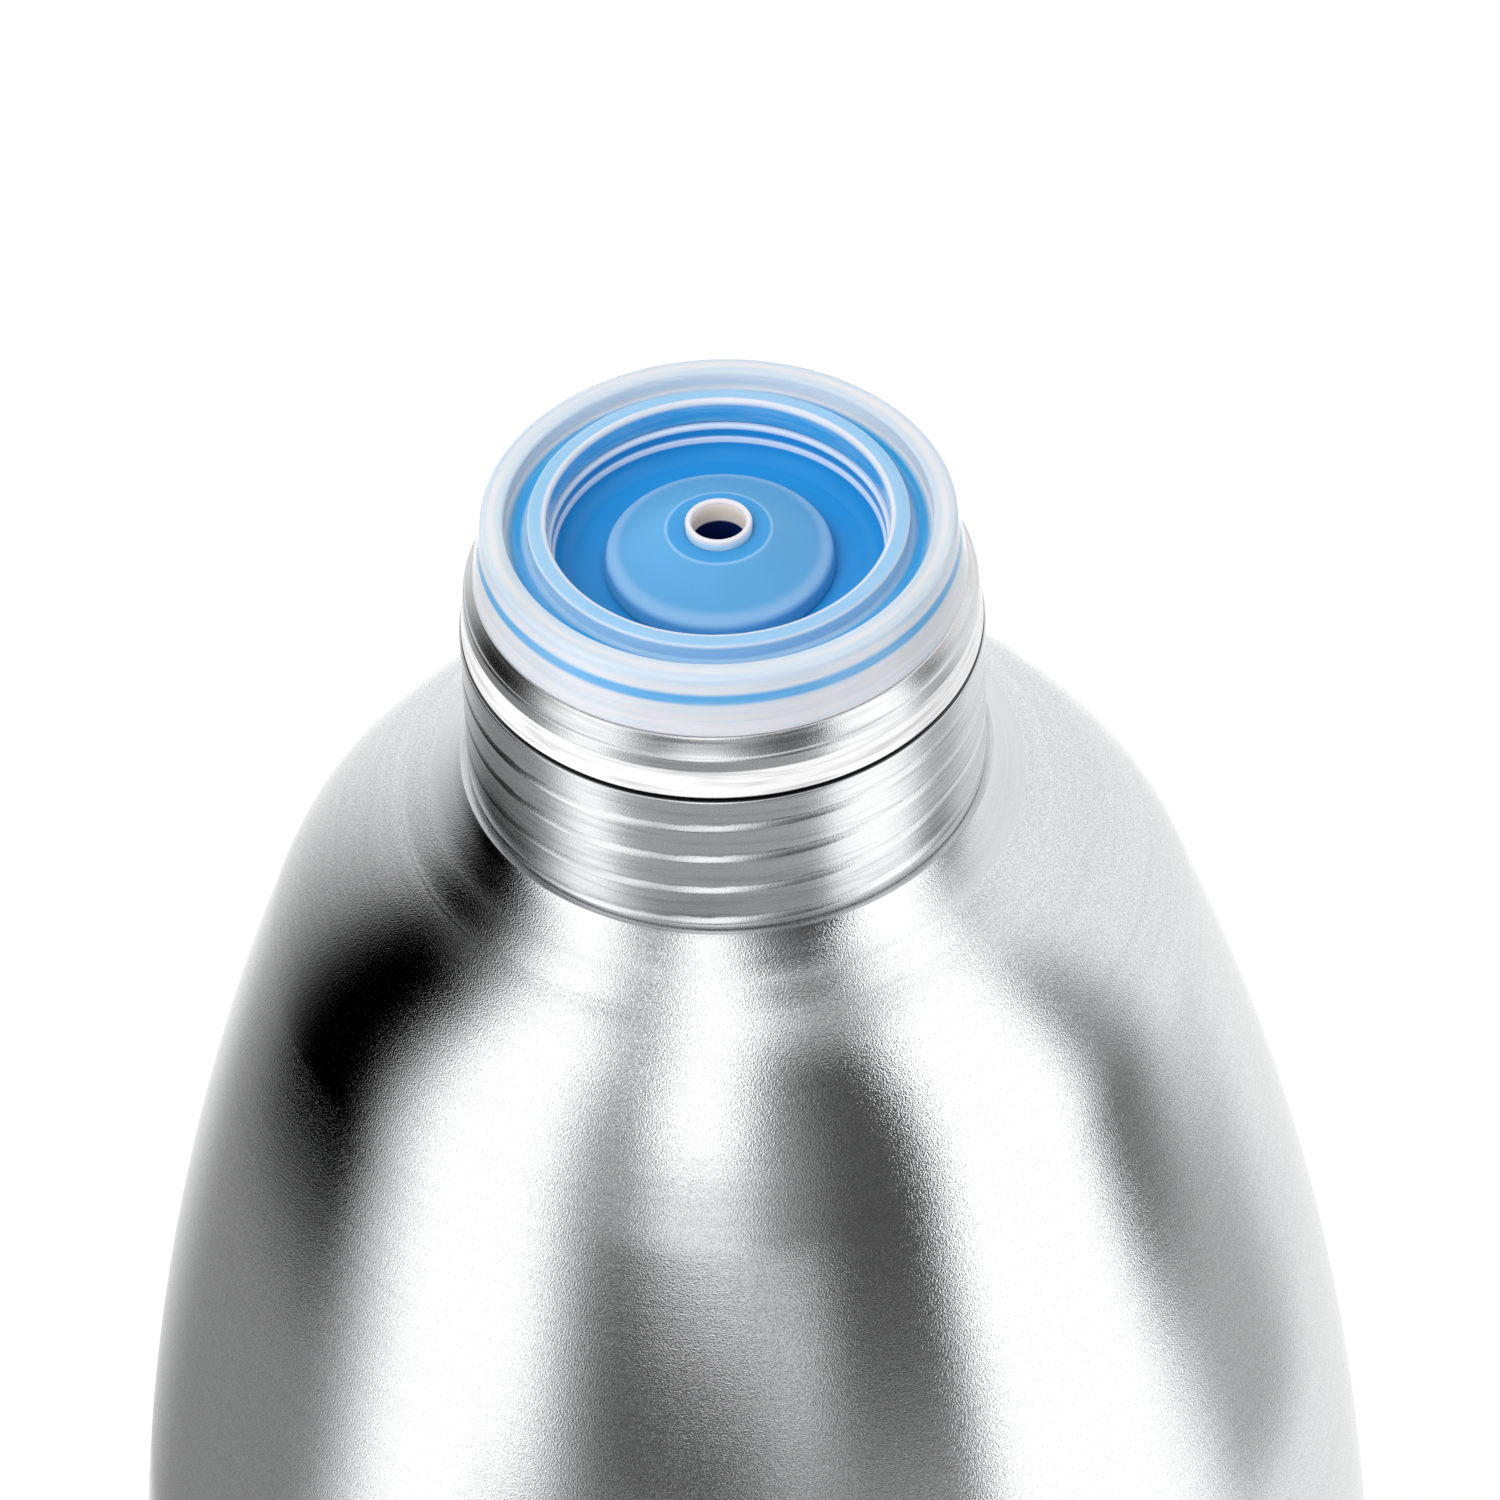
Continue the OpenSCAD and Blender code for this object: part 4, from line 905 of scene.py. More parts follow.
def bottle_shell(sizes):
    """The bottle turned from one line: hollow base, foot ring, corner, straight side, long curve and
    shoulder on the outside, and the same line one wall inwards on the inside."""
    marks = bottle_marks(sizes)
    wall, corner, depth = sizes.wall, sizes.base_corner, sizes.dish_depth
    belly, shoulder = sizes.belly_radius, sizes.shoulder_radius
    dish = sizes.dish_width / 2
    dish_radius = (dish ** 2 + depth ** 2) / (2 * depth)
    flat = BODY_RADIUS - corner
    inner = BODY_RADIUS - wall
    across = np.linspace(0, dish, 25)
    under = np.stack([across, depth - dish_radius + np.sqrt(dish_radius ** 2 - across ** 2)], 1)
    line = np.concatenate([
        under,
        run((dish + 0.05, 0), (flat, 0), 4),
        arc((flat, corner), corner, -90, 0, 14)[1:],
        run((BODY_RADIUS, corner), (BODY_RADIUS, SIDE_TOP), 24)[1:],
        arc(marks.belly_middle, belly, 0, marks.turn, 48)[1:],
        arc(marks.shoulder_middle, shoulder, marks.turn, marks.weld, 32)[1:],
        arc(marks.shoulder_middle, shoulder - wall, marks.weld, marks.turn, 16),
        arc(marks.belly_middle, belly - wall, marks.turn, 0, 24)[1:],
        run((inner, SIDE_TOP), (inner, corner), 8)[1:],
        arc((flat, corner), corner - wall, 0, -90, 10)[1:],
        under[::-1] + (0, wall),
    ])
    return turned(line, 256)


def neck_shell(sizes):
    """The neck turned from one line, with the thread cut into it: at each height and angle the radius is
    less by the thread's depth times a narrow groove profile, whose phase is the height over the pitch
    less the angle over a full turn. The groove's lower side is the longer one, and the cut fades in at
    both ends."""
    marks = bottle_marks(sizes)
    neck, mouth, foot, weld_low = sizes.neck_radius, sizes.mouth_radius, marks.foot, marks.weld_low
    cut_top = foot + sizes.undercut_height
    groove = foot + sizes.thread_height
    band = groove + sizes.groove_height
    bevel = band + sizes.band_height
    rim = bevel + sizes.bevel_height
    band_radius = neck - sizes.band_step
    bevel_radius = band_radius - sizes.band_lean
    rim_radius = bevel_radius - sizes.bevel_width
    groove_radius = neck - sizes.groove_depth
    undercut = neck - sizes.undercut_depth
    edge = 0.06
    step = 0.25
    profile = np.concatenate([
        run((mouth, weld_low), (neck + 1, weld_low), 2),
        arc(marks.fillet_middle, sizes.fillet_radius, 180 + marks.weld, 180 + marks.foot_angle, 24),
        run((neck + sizes.foot_step - edge, foot), (undercut, foot), 2),
        run((undercut, foot + edge), (undercut, cut_top), 2),
        run((neck - edge, cut_top), (neck, cut_top + edge), 2),
        run((neck, cut_top + 2 * edge), (neck, groove - 2 * edge), 150),
        run((neck, groove - edge), (neck - edge, groove), 2),
        run((groove_radius + edge, groove), (groove_radius, groove + edge), 2),
        run((groove_radius, band - edge), (groove_radius + edge, band), 2),
        run((band_radius - edge, band), (band_radius, band + edge), 2),
        run((band_radius, band + 2 * edge), (bevel_radius, bevel - step - 2 * edge), 3),
        arc((bevel_radius - step, bevel - step), step, 0, 75, 8),
        run((bevel_radius - 0.9 * step, bevel + 0.02), (rim_radius + 0.1, rim - 0.35), 3),
        arc((rim_radius - 0.1, rim - 0.2), 0.2, 20, 90, 6),
        run((rim_radius - 0.2, rim), (mouth + 0.5, rim), 3),
        arc((mouth + 0.4, rim - 0.4), 0.4, 90, 180, 6),
        run((mouth, rim - 1), (mouth, weld_low + 1), 4),
    ])
    pitch = sizes.thread_pitch

    def cut_thread(radius, height, angle):
        below = (sizes.thread_mark - height) + pitch * (angle + math.pi / 2) / FULL_TURN
        down = (below + pitch / 2) % pitch - pitch / 2
        # Places across the groove, in millimetres down from the thread's mark
        upper_side = soft_step(down + 0.34, 0.16)
        lower_side = np.clip((0.28 - down) / 0.46, 0, 1) ** 1.4
        start = np.clip((height - cut_top - 0.1) / 0.5, 0, 1)
        end = np.clip((groove - 1.3 - height) / 0.8, 0, 1)
        on_thread = (np.abs(radius - neck) < 1e-6) & (height > cut_top) & (height < groove)
        cut = np.minimum(upper_side, lower_side) * start * end * on_thread
        return radius - sizes.thread_depth * cut, height

    return turned(profile, 288, cut_thread)


def gasket_shell(sizes):
    """The gasket turned from a closed line: sleeve, leaning outer wall, flange, channel and lip."""
    height, depth = sizes.gasket_height, sizes.sleeve_depth
    web, floor = sizes.web_under, sizes.channel_floor
    line = softened([
        (sizes.sleeve_inner, -depth, 0.2), (sizes.sleeve_outer, -depth, 0.2), (sizes.sleeve_outer, 0, 0.1),
        (sizes.gasket_foot, 0, 0.15), (sizes.gasket_top, height, 0.35), (sizes.channel_outer, height, 0.25),
        (sizes.channel_outer, floor, 0.2), (sizes.channel_inner, floor, 0.2),
        (sizes.channel_inner, height, 0.25), (sizes.lip_inner, height, 0.3), (sizes.lip_inner, web, 0.15),
        (sizes.sleeve_inner, web, 0.1)], steps=10)
    return turned(line + (0, gasket_seat(sizes)), 256)


def insert_shell(sizes):
    """The insert turned from a closed line: socket ring, outer skirt, rim and recess. The recess ends in
    a quarter of an ellipse, one step narrower than the wall above it, that runs into the floor."""
    hole, ring_in, ring_out = sizes.shank_hole, sizes.ring_inner, sizes.ring_outer
    floor, recess, bowl = sizes.floor_height, sizes.recess_radius, sizes.bowl_radius
    under = floor - sizes.floor_thickness
    skirt = under - sizes.skirt_depth
    ring_foot = under - sizes.ring_depth
    outer = sizes.sleeve_inner - 0.02
    inner = outer - sizes.skirt_wall
    top = sizes.web_under - 0.05
    narrow = bowl - sizes.bowl_step
    body = softened([
        (hole, floor, 0), (hole, under, 0.1), (ring_in, under, 0.1), (ring_in, ring_foot, 0.1),
        (ring_out, ring_foot, 0.2), (ring_out, under, 0.3), (inner, under, 0.3), (inner, skirt, 0.2),
        (outer, skirt, 0.2), (outer, top, 0.15), (recess, top, 0.2), (recess, floor + bowl, 0.04),
        (recess - bowl + narrow, floor + bowl, 0)], False, 8)
    bend = np.radians(np.linspace(0, -90, 19))[1:]
    round_bowl = np.stack([recess - bowl + narrow * np.cos(bend), floor + bowl + bowl * np.sin(bend)], 1)
    line = np.concatenate([body, round_bowl, run((recess - bowl - 0.3, floor), (hole + 0.28, floor), 8)])
    return turned(line + (0, gasket_seat(sizes)), 256)


def collar_shell(sizes):
    """The collar turned from a closed line: shank in the insert, cone, crown and flat top."""
    shank, foot = sizes.shank_radius, sizes.floor_height - sizes.shank_depth
    under = sizes.floor_height + 0.01
    bore = sizes.riser_radius + 0.02
    line = softened([
        (bore, foot, 0.1), (shank, foot, 0.2), (shank, under, 0.05), (sizes.collar_radius, under, 0.1),
        (sizes.collar_shoulder, sizes.collar_side, 0.6), (sizes.collar_pad, sizes.collar_top, 0.5),
        (bore, sizes.collar_top, 0.1)], steps=8)
    return turned(line + (0, gasket_seat(sizes)))


def riser_shell(sizes):
    """The riser tube turned from a closed line with a round lip. Its foot is cut slanting: there the
    height rises by the distance to the left of the axis."""
    radius, bore, slant = sizes.riser_radius, sizes.riser_bore, sizes.riser_slant
    lip = (radius - bore) / 2
    straight = RISER_FOOT + slant
    below_lip = RISER_TOP - lip - 0.05
    line = np.concatenate([
        [(bore, RISER_FOOT), (radius, RISER_FOOT), (radius, straight)],
        run((radius, straight + 1), (radius, below_lip), 6),
        arc((radius - lip, RISER_TOP - lip), lip, 0, 180, 12),
        run((bore, below_lip), (bore, RISER_TOP - 3), 6),
        [(bore, straight + 1), (bore, straight)],
    ])

    def cut_slanting(radius_grid, height, angle):
        near = np.clip((straight - height) / slant, 0, 1)
        return radius_grid, height + near * np.clip(-radius_grid * np.cos(angle), 0, None)

    return turned(line, 96, cut_slanting)


def plate(outline, low, high, edge):
    """A flat plate across X: its outline, given as points around a middle, is repeated at a few depths
    and drawn in at both faces by a quarter round."""
    centre = outline.mean(0)
    angle = np.linspace(0, math.pi / 2, 6)
    inset = np.concatenate([edge * (1 - np.sin(angle)), edge * (1 - np.sin(angle[::-1]))])
    depth = np.concatenate([low + edge * (1 - np.cos(angle)), high - edge * (1 - np.cos(angle[::-1]))])
    reach = outline - centre
    shrink = 1 - inset[:, None, None] / np.linalg.norm(reach, axis=1).max()
    path = np.stack([depth, 0 * depth, 0 * depth], 1)
    return carried(path, ALONG_Y, ALONG_Z, centre + reach[None] * shrink)


def boss(radius, reach, rounding, segments, axis, height):
    """A round boss that stands out from the head's axis at a height."""
    line = softened([(0, 0, 0), (radius, 0, 0), (radius, reach, rounding), (0, reach, 0)], False)
    return placed(turned(line, segments), axis, (HEAD_X, 0, height))


def head_shells(sizes):
    """The cast head: fluted skirt, dome and tower turned from one line with the neck's bore inside, three
    round bosses turned about their own axes, and two ears as plates."""
    skirt, skirt_top = sizes.skirt_radius, sizes.skirt_height
    tower, top, edge = sizes.tower_radius, sizes.tower_top, sizes.tower_edge
    cap, ceiling, guide = sizes.cap_radius, sizes.ceiling, sizes.stem_guide
    blend = 1.2
    dome_end = math.degrees(math.acos(tower / skirt)) - 3.2
    dome = arc((0, skirt_top), skirt, 0, dome_end, 30)[1:]
    dome_x, dome_z = dome[-1]
    line = np.concatenate([
        run((cap, 1.2), (cap + 0.6, 0), 2),
        run((cap + 1.2, 0), (skirt - 1.4, 0), 2),
        arc((skirt - 0.8, 0.8), 0.8, -90, 0, 6),
        run((skirt, 1.4), (skirt, skirt_top), 30),
        dome,
        run((tower + (dome_x - tower) * 0.35, dome_z + blend * 0.55), (tower, dome_z + 2 * blend), 3),
        run((tower, dome_z + 3 * blend), (tower, top - edge - 0.4), 4),
        arc((tower - edge, top - edge), edge, 0, 90, 12),
        run((tower - edge - 0.5, top), (guide + 0.9, top), 3),
        run((guide + 0.5, top), (guide, top - 0.5), 2),
        run((guide, top - 1.5), (guide, ceiling + 8), 3),
        run((6.9, ceiling + 7), (7.1, ceiling), 1),
        run((8, ceiling), (cap - 0.8, ceiling), 2),
        run((cap, ceiling - 0.8), (cap, 2.4), 3),
    ])
    flutes = fluted(sizes.flutes, sizes.flute_radius, sizes.flute_depth, -4, skirt_top - 1, 2.0)
    left, right = PIVOT_Y - sizes.ear_radius, PIVOT_Y + sizes.ear_radius
    low = top - edge - 1
    outline = np.concatenate([
        arc((PIVOT_Y, PIVOT_Z), sizes.ear_radius, 0, 180, 40),
        run((left, PIVOT_Z - 1), (left, low), 6),
        run((left + 1, low), (right - 1, low), 6),
        run((right, low), (right, PIVOT_Z - 1), 6)])
    gap, thick = sizes.hub_width / 2 + 0.3, sizes.ear_thickness
    ears = [plate(outline, HEAD_X + start, HEAD_X + start + thick, 0.5) for start in (gap, -gap - thick)]
    return [placed(turned(line, 480, flutes), origin=(HEAD_X, 0, 0)),
            boss(7.7, 21.1, 0.4, 96, (0, -1, 0), SPOUT_Z),
            boss(12, 27.98, 0.7, 128, ALONG_Y, CHARGER_Z),
            boss(6, 19.98, 0.6, 96, ALONG_X, CHARGER_Z)] + ears


def lever_shells(sizes):
    """The lever: a rounded box section, with the sides' roundness as a power of cosine and sine, carried
    along an arch from pivot to tip. Its width grows from the hub to the thumb plate and closes as a half
    circle at the tip. The hub and the nose are turned about X."""
    reach, curve, slope = sizes.lever_length, sizes.lever_curve, sizes.lever_slope
    half_chord = math.asin(reach / 2 / curve)
    drop = math.sqrt(curve ** 2 - reach ** 2 / 4)
    middle_y = PIVOT_Y + reach * math.cos(slope) / 2 + drop * math.sin(slope)
    middle_z = PIVOT_Z + reach * math.sin(slope) / 2 - drop * math.cos(slope)
    bend = 0.86
    closing = np.sin(np.linspace(0, math.pi / 2, 40)[1:])
    part = np.concatenate([np.linspace(0, bend, 60), bend + 0.139 * closing])
    angle = math.pi / 2 + slope + half_chord - 2 * half_chord * part
    up = np.stack([0 * part, np.cos(angle), np.sin(angle)], 1)
    path = curve * up + (HEAD_X, middle_y, middle_z)
    hub = sizes.hub_width / 2
    plate_half = sizes.plate_width / 2
    along = path[:, 1]
    tip = PIVOT_Y + reach * math.cos(slope)
    width = hub + (plate_half - hub) * np.clip((along - 3) / 15, 0, 1)
    past = np.clip((along - (tip - plate_half)) / plate_half, 0, 1)
    width = np.minimum(width, plate_half * np.sqrt(np.clip(1 - past ** 2, 0.0004, 1)))
    thick = sizes.lever_thickness / 2 * (1 - 0.35 * np.clip((past - 0.9) / 0.1, 0, 1) ** 2)
    around = circle(72)
    x, z = (np.sign(side) * np.abs(side) ** 0.4 for side in (np.cos(around), np.sin(around)))
    section = np.stack([width[:, None] * x, thick[:, None] * z], -1)
    bore, round_hub, nose = sizes.hub_bore, sizes.hub_radius, sizes.nose_radius
    hub_line = softened([
        (bore, -hub, 0.1), (round_hub, -hub, 0.5), (round_hub, hub, 0.5), (bore, hub, 0.1)])
    nose_line = softened([(0, -hub, 0), (nose, -hub, 0.5), (nose, hub, 0.5), (0, hub, 0)], False)
    return [carried(path, (-1, 0, 0), up, section),
            placed(turned(hub_line, 96), ALONG_X, (HEAD_X, PIVOT_Y, PIVOT_Z)),
            placed(turned(nose_line, 64), ALONG_X, (HEAD_X, 0, STEM_TOP + nose + 0.3))]


def spout_path(sizes):
    """Middle line of the spout, out of the nut, round the bend and down its drop, and its up
    direction."""
    bend, drop, full = sizes.spout_bend, sizes.spout_drop, sizes.spout_turn
    straight, inside_nut = 10.75, 5.25
    bend_y = NUT_FRONT - straight
    swing = np.linspace(0, full, 49)
    arch = np.stack([bend_y - bend * np.sin(swing), SPOUT_Z - bend * (1 - np.cos(swing))], 1)
    back = np.array([math.cos(full), math.sin(full)])
    line = np.concatenate([
        run((NUT_FRONT + inside_nut, SPOUT_Z), (bend_y + 0.3, SPOUT_Z), 6), arch,
        run(arch[-1] - back * 0.3, arch[-1] - back * drop, 6)])
    tilt = np.concatenate([np.zeros(7), swing, np.full(7, full)])
    path = np.insert(line, 0, HEAD_X, 1)
    return path, np.stack([0 * tilt, -np.sin(tilt), np.cos(tilt)], 1)


def spout_shells(sizes):
    """The spout: a round tube, outside and bore in one closed surface, carried along its middle line."""
    path, up = spout_path(sizes)
    steps = len(path)
    around = circle(64)
    loop = np.concatenate([np.arange(steps), np.arange(steps)[::-1], [0]])
    size = np.concatenate([np.full(steps, sizes.spout_radius), np.full(steps, sizes.spout_bore),
                           [sizes.spout_radius]])
    section = size[:, None, None] * np.stack([np.cos(around), np.sin(around)], 1)
    points, faces = carried(path[loop], ALONG_X, up[loop], section, cap=False)
    points = points[:-len(around)]
    return [(points, [faces[0] % len(points)])]


def nut_shells(sizes):
    """The union nut: a ring whose outside is the smaller of a hexagon and a chamfered round."""
    bore, seat, corner = sizes.spout_radius + 0.3, 8.9, 11.54
    long = NUT_BACK - NUT_FRONT
    line = [(bore, 0), (seat, 0), (9.6, 0.25), (10.9, 1.0), (corner, 1.6), (corner, long - 1.6),
            (10.9, long - 1.0), (9.6, long - 0.25), (seat, long), (8.05, long), (8.05, 2.3), (bore, 2.2)]
    shell = turned(dense(line), 240, six_sided(20, seat + 0.05))
    return [placed(shell, ALONG_Y, (HEAD_X, NUT_FRONT, SPOUT_Z))]


def nozzle_shells(sizes):
    """The nozzle turned about the spout's drop: a sleeve over the tube that narrows to its mouth."""
    bore, tube = sizes.spout_bore, sizes.spout_radius + 0.02
    line = softened([(bore, -10, 0.3), (5.3, -10, 0.6), (6.7, 0, 1.5), (6.7, 6, 0.7), (tube, 6, 0.2),
                     (tube, 0, 0.1), (bore, 0, 0.1)])
    axis = (0, math.cos(sizes.spout_turn), math.sin(sizes.spout_turn))
    return [placed(turned(line, 96), axis, spout_path(sizes)[0][-1])]


def socket_shells():
    """The charger socket turned about the charger's axis: shank, flange and threaded nose with fine
    ridges."""
    nose = np.linspace(0, 1, 97)
    ridge = np.stack([11 - 0.25 + 0.25 * np.cos(nose * FULL_TURN * 8), 15.3 + nose * 11.6], 1)
    line = np.concatenate([
        [(2.65, 0), (7.5, 0), (7.5, 11.9), (7.6, 12.02), (11.5, 12.02), (12, 12.5), (12, 14.5), (11.5, 15),
         (10.6, 15.05)], ridge, [(10.5, 27.8), (10.2, 28), (4.75, 28), (4.75, 17), (2.65, 17)]])
    return [placed(turned(line, 128), ALONG_Y, (HEAD_X, span("charger_socket", Y)[0], CHARGER_Z))]


def holder_shells():
    """The charger holder turned about its axis: threaded mouth, barrel and round end."""
    first, last = span("charger_holder", Y)
    barrel, bore, mouth, thread = 12, 9.4, 13.5, 11.3
    round_end = last - barrel
    line = np.concatenate([
        arc((0, round_end), bore, 89.99, 0, 20),
        softened([(bore, round_end - 4, 0), (bore, first + 13.7, 0.2), (thread, first + 13.7, 0.2),
                  (thread, first, 0.3), (mouth, first, 0.6), (mouth, first + 15.9, 0.7),
                  (barrel, first + 15.9, 0.2), (barrel, round_end - 4, 0)], False),
        arc((0, round_end), barrel, 0, 90, 24)])
    line[[0, -1], 0] = 0
    return [placed(turned(line, 160), ALONG_Y, (HEAD_X, 0, CHARGER_Z))]


def grip_shells(sizes):
    """The grip sleeve turned about the holder's axis, with flutes that fade at both ends."""
    first, last = span("holder_grip", Y)
    long = last - first
    bore, outer, edge = 12.02, 14.8, 0.9
    corner = outer - edge
    line = np.concatenate([
        [(bore, 0)], run((13.4, 0), (corner, 0.05), 2), arc((corner, edge), edge, -80, 0, 6),
        run((outer, 1.2), (outer, long - 1.2), 40), arc((corner, long - edge), edge, 0, 80, 6),
        run((corner, long - 0.05), (13.4, long), 2), [(bore, long)]])
    flutes = fluted(sizes.grip_flutes, 2.8, 0.93, 1.5, long - 1.5, 2.5)
    return [placed(turned(line, 336, flutes), ALONG_Y, (HEAD_X, first, CHARGER_Z))]


def relief_shells():
    """The relief valve: shank and chamfered hexagon turned about X, with a small vent hole."""
    line = [(0, 0), (2.5, 0), (2.5, 6), (3.2, 6.02), (5.19, 6.02), (5.19, 8.8), (4.6, 9.3), (4.3, 9.45),
            (1.6, 9.45), (1.2, 9.2), (1.2, 7.8), (0, 7.8)]
    shell = turned(dense(line, False), 180, six_sided(9, 3.3))
    return [placed(shell, ALONG_X, (span("relief_valve", X)[0], 0, CHARGER_Z))]


def pin_shells():
    """The lever pin turned about X, with a domed head."""
    first, last = span("lever_pin", X)
    line = softened([(0, first, 0), (3.3, first, 0.8), (3.3, first + 1.5, 0.1), (2, first + 1.5, 0.1),
                     (2, last, 0.4), (0, last, 0)], False)
    return [placed(turned(line, 64), ALONG_X, (0, PIVOT_Y, PIVOT_Z))]


def clip_shells():
    """The pin clip: a ring with rounded edges, turned about X, with three notches to its bore."""
    first, last = span("pin_clip", X)
    bore, outer, face = 2.03, 3.6, first + 0.02
    line = softened([(bore, face, 0.05), (outer, face, 0.2), (outer, last, 0.3), (bore, last, 0.1)])

    def notched(radius, height, angle):
        notch = np.clip(np.cos(3 * angle) * 8 - 6.4, 0, 1)
        return radius + np.where(radius < 2.4, 0.55 * notch, 0), height

    return [placed(turned(line, 144, notched), ALONG_X, (0, PIVOT_Y, PIVOT_Z))]


def stem_shells():
    """The valve stem turned about the head's axis: pilot, poppet flange and push rod with a rounded
    top."""
    rod, poppet, low, high = 2.5, 5.2, STEM_FOOT + 2, STEM_FOOT + 4.4
    line = softened([(0, STEM_FOOT, 0), (rod, STEM_FOOT, 0.4), (rod, low, 0.1), (poppet, low, 0.3),
                     (poppet, high, 0.2), (rod, high, 0.2), (rod, STEM_TOP, 0.9), (0, STEM_TOP, 0)], False)
    return [placed(turned(line, 72), origin=(HEAD_X, 0, 0))]


def spring_shells(sizes):
    """The valve spring: a round wire carried up a helix, whose height grows evenly with the turn."""
    wire = sizes.spring_wire / 2
    west, east = span("valve_spring", X)
    foot, top = span("valve_spring", Z)
    angle = np.linspace(0, FULL_TURN * sizes.spring_curls, 48 * sizes.spring_curls + 1)
    height = np.linspace(foot + wire, top - wire, len(angle))
    outward = np.stack([np.cos(angle), np.sin(angle), 0 * angle], 1)
    path = ((east - west) / 2 - wire) * outward + np.stack([HEAD_X + 0 * angle, 0 * angle, height], 1)
    around = circle(16)
    section = wire * np.stack([np.cos(around), np.sin(around)], 1)
    return [carried(path, ALONG_Z, outward, section[None])]


# Operators

class SIPHON_OT_finishes(bpy.types.Operator):
    """Make the shared groups and every finish, and put them on the CAD nodes."""
    bl_idname = "siphon.finishes"
    bl_label = "Finishes"

    def execute(self, context):
        colours = context.scene.siphon_colours
        insert = in_mm(context.scene.siphon_insert)
        build_grain()
        build_moulding()
        build_zone("ring zone", "Inner", "Outer", lambda tree: axis_distance(tree, *spot(tree)[:2]))
        build_zone("height zone", "Low", "High", lambda tree: spot(tree)[2])
        build_streaks()
        build_swell()
        body, _ = metal("body_steel", colours.body_steel, (0.05, 0.10), BODY_LINES, 0.2, BODY_GRAIN,
                        2500, 0.24)
        swollen(body)
        neck_finish(colours, in_mm(context.scene.siphon_bottle))
        gasket_finish(colours, insert)
        insert_finish(colours, insert)
        collar_finish(colours, insert)
        riser_finish(colours, insert)
        clear_finish(colours)
        metal("head_metal", colours.head_metal, (0.26, 0.36), 0.15, 0.4)
        metal("brass", colours.brass, (0.22, 0.32), 0.6, 0.2)
        metal("spring_steel", colours.spring_steel, (0.18, 0.26), 0.5, 0.15)
        metal("lever_steel", colours.lever_steel, (0.12, 0.2), 0.4, 0.12)
        moulded("black_rubber", colours.black_rubber, (0.5, 0.7), 0.4, 0.2)
        moulded("dark_plastic", colours.dark_plastic, (0.35, 0.5), 0.3, 0.15)
        for row in frame["record"]["subparts"]:
            node = frame["nodes"][row["node"]]
            node.data.materials.clear()
            node.data.materials.append(FINISHES[row["material_slot"]])
        return {"FINISHED"}


class SIPHON_OT_bottle(bpy.types.Operator):
    """Turn the steel bottle and its threaded neck."""
    bl_idname = "siphon.bottle"
    bl_label = "Bottle and neck"

    def execute(self, context):
        sizes = in_mm(context.scene.siphon_bottle)
        piece("bottle_skin", [bottle_shell(sizes)], "bottle", "body_steel",
              ["bottle_cup", "bottle_shoulder"])
        piece("neck_ring", [neck_shell(sizes)], "bottle", "neck_steel", ["threaded_neck"], 50)
        return {"FINISHED"}


class SIPHON_OT_insert(bpy.types.Operator):
    """Turn the gasket, insert, collar and riser tube."""
    bl_idname = "siphon.insert"
    bl_label = "Gasket, insert and tubes"

    def execute(self, context):
        sizes = in_mm(context.scene.siphon_insert)
        piece("gasket_ring", [gasket_shell(sizes)], "insert", "clear_silicone", ["neck_gasket"])
        piece("insert_cup", [insert_shell(sizes)], "insert", "deep_blue_plastic", ["neck_insert"])
        piece("collar_cone", [collar_shell(sizes)], "riser", "pale_blue_plastic", ["tube_collar"])
        piece("riser_pipe", [riser_shell(sizes)], "riser", "ivory_plastic", ["riser_tube"])
        return {"FINISHED"}


class SIPHON_OT_head(bpy.types.Operator):
    """Make the cast head with its lever, pin, valve stem and valve spring."""
    bl_idname = "siphon.head"
    bl_label = "Head and lever"

    def execute(self, context):
        sizes = in_mm(context.scene.siphon_head)
        piece("head_cast", head_shells(sizes), "head", "head_metal", ["head_body"])
        piece("lever_arm", lever_shells(sizes), "lever", "lever_steel", ["lever"])
        piece("pin_turned", pin_shells(), "head", "spring_steel", ["lever_pin"])
        piece("clip_ring", clip_shells(), "head", "dark_plastic", ["pin_clip"])
        piece("stem_turned", stem_shells(), "valve", "spring_steel", ["valve_stem"])
        spring = piece("spring_coil", spring_shells(sizes), "head", "spring_steel", ["valve_spring"])
        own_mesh(spring)
        return {"FINISHED"}


class SIPHON_OT_fittings(bpy.types.Operator):
    """Make the spout, charger holder and relief valve of the head."""
    bl_idname = "siphon.fittings"
    bl_label = "Spout, charger holder and relief valve"

    def execute(self, context):
        sizes = in_mm(context.scene.siphon_head)
        piece("spout_pipe", spout_shells(sizes), "head", "lever_steel", ["spout_tube"])
        piece("union_nut", nut_shells(sizes), "head", "lever_steel", ["spout_nut"])
        piece("nozzle_tip", nozzle_shells(sizes), "head", "dark_plastic", ["spout_nozzle"])
        piece("socket_turned", socket_shells(), "head", "brass", ["charger_socket"])
        piece("holder_cup", holder_shells(), "holder", "head_metal", ["charger_holder"])
        piece("grip_sleeve", grip_shells(sizes), "holder", "black_rubber", ["holder_grip"])
        piece("relief_plug", relief_shells(), "head", "brass", ["relief_valve"])
        return {"FINISHED"}


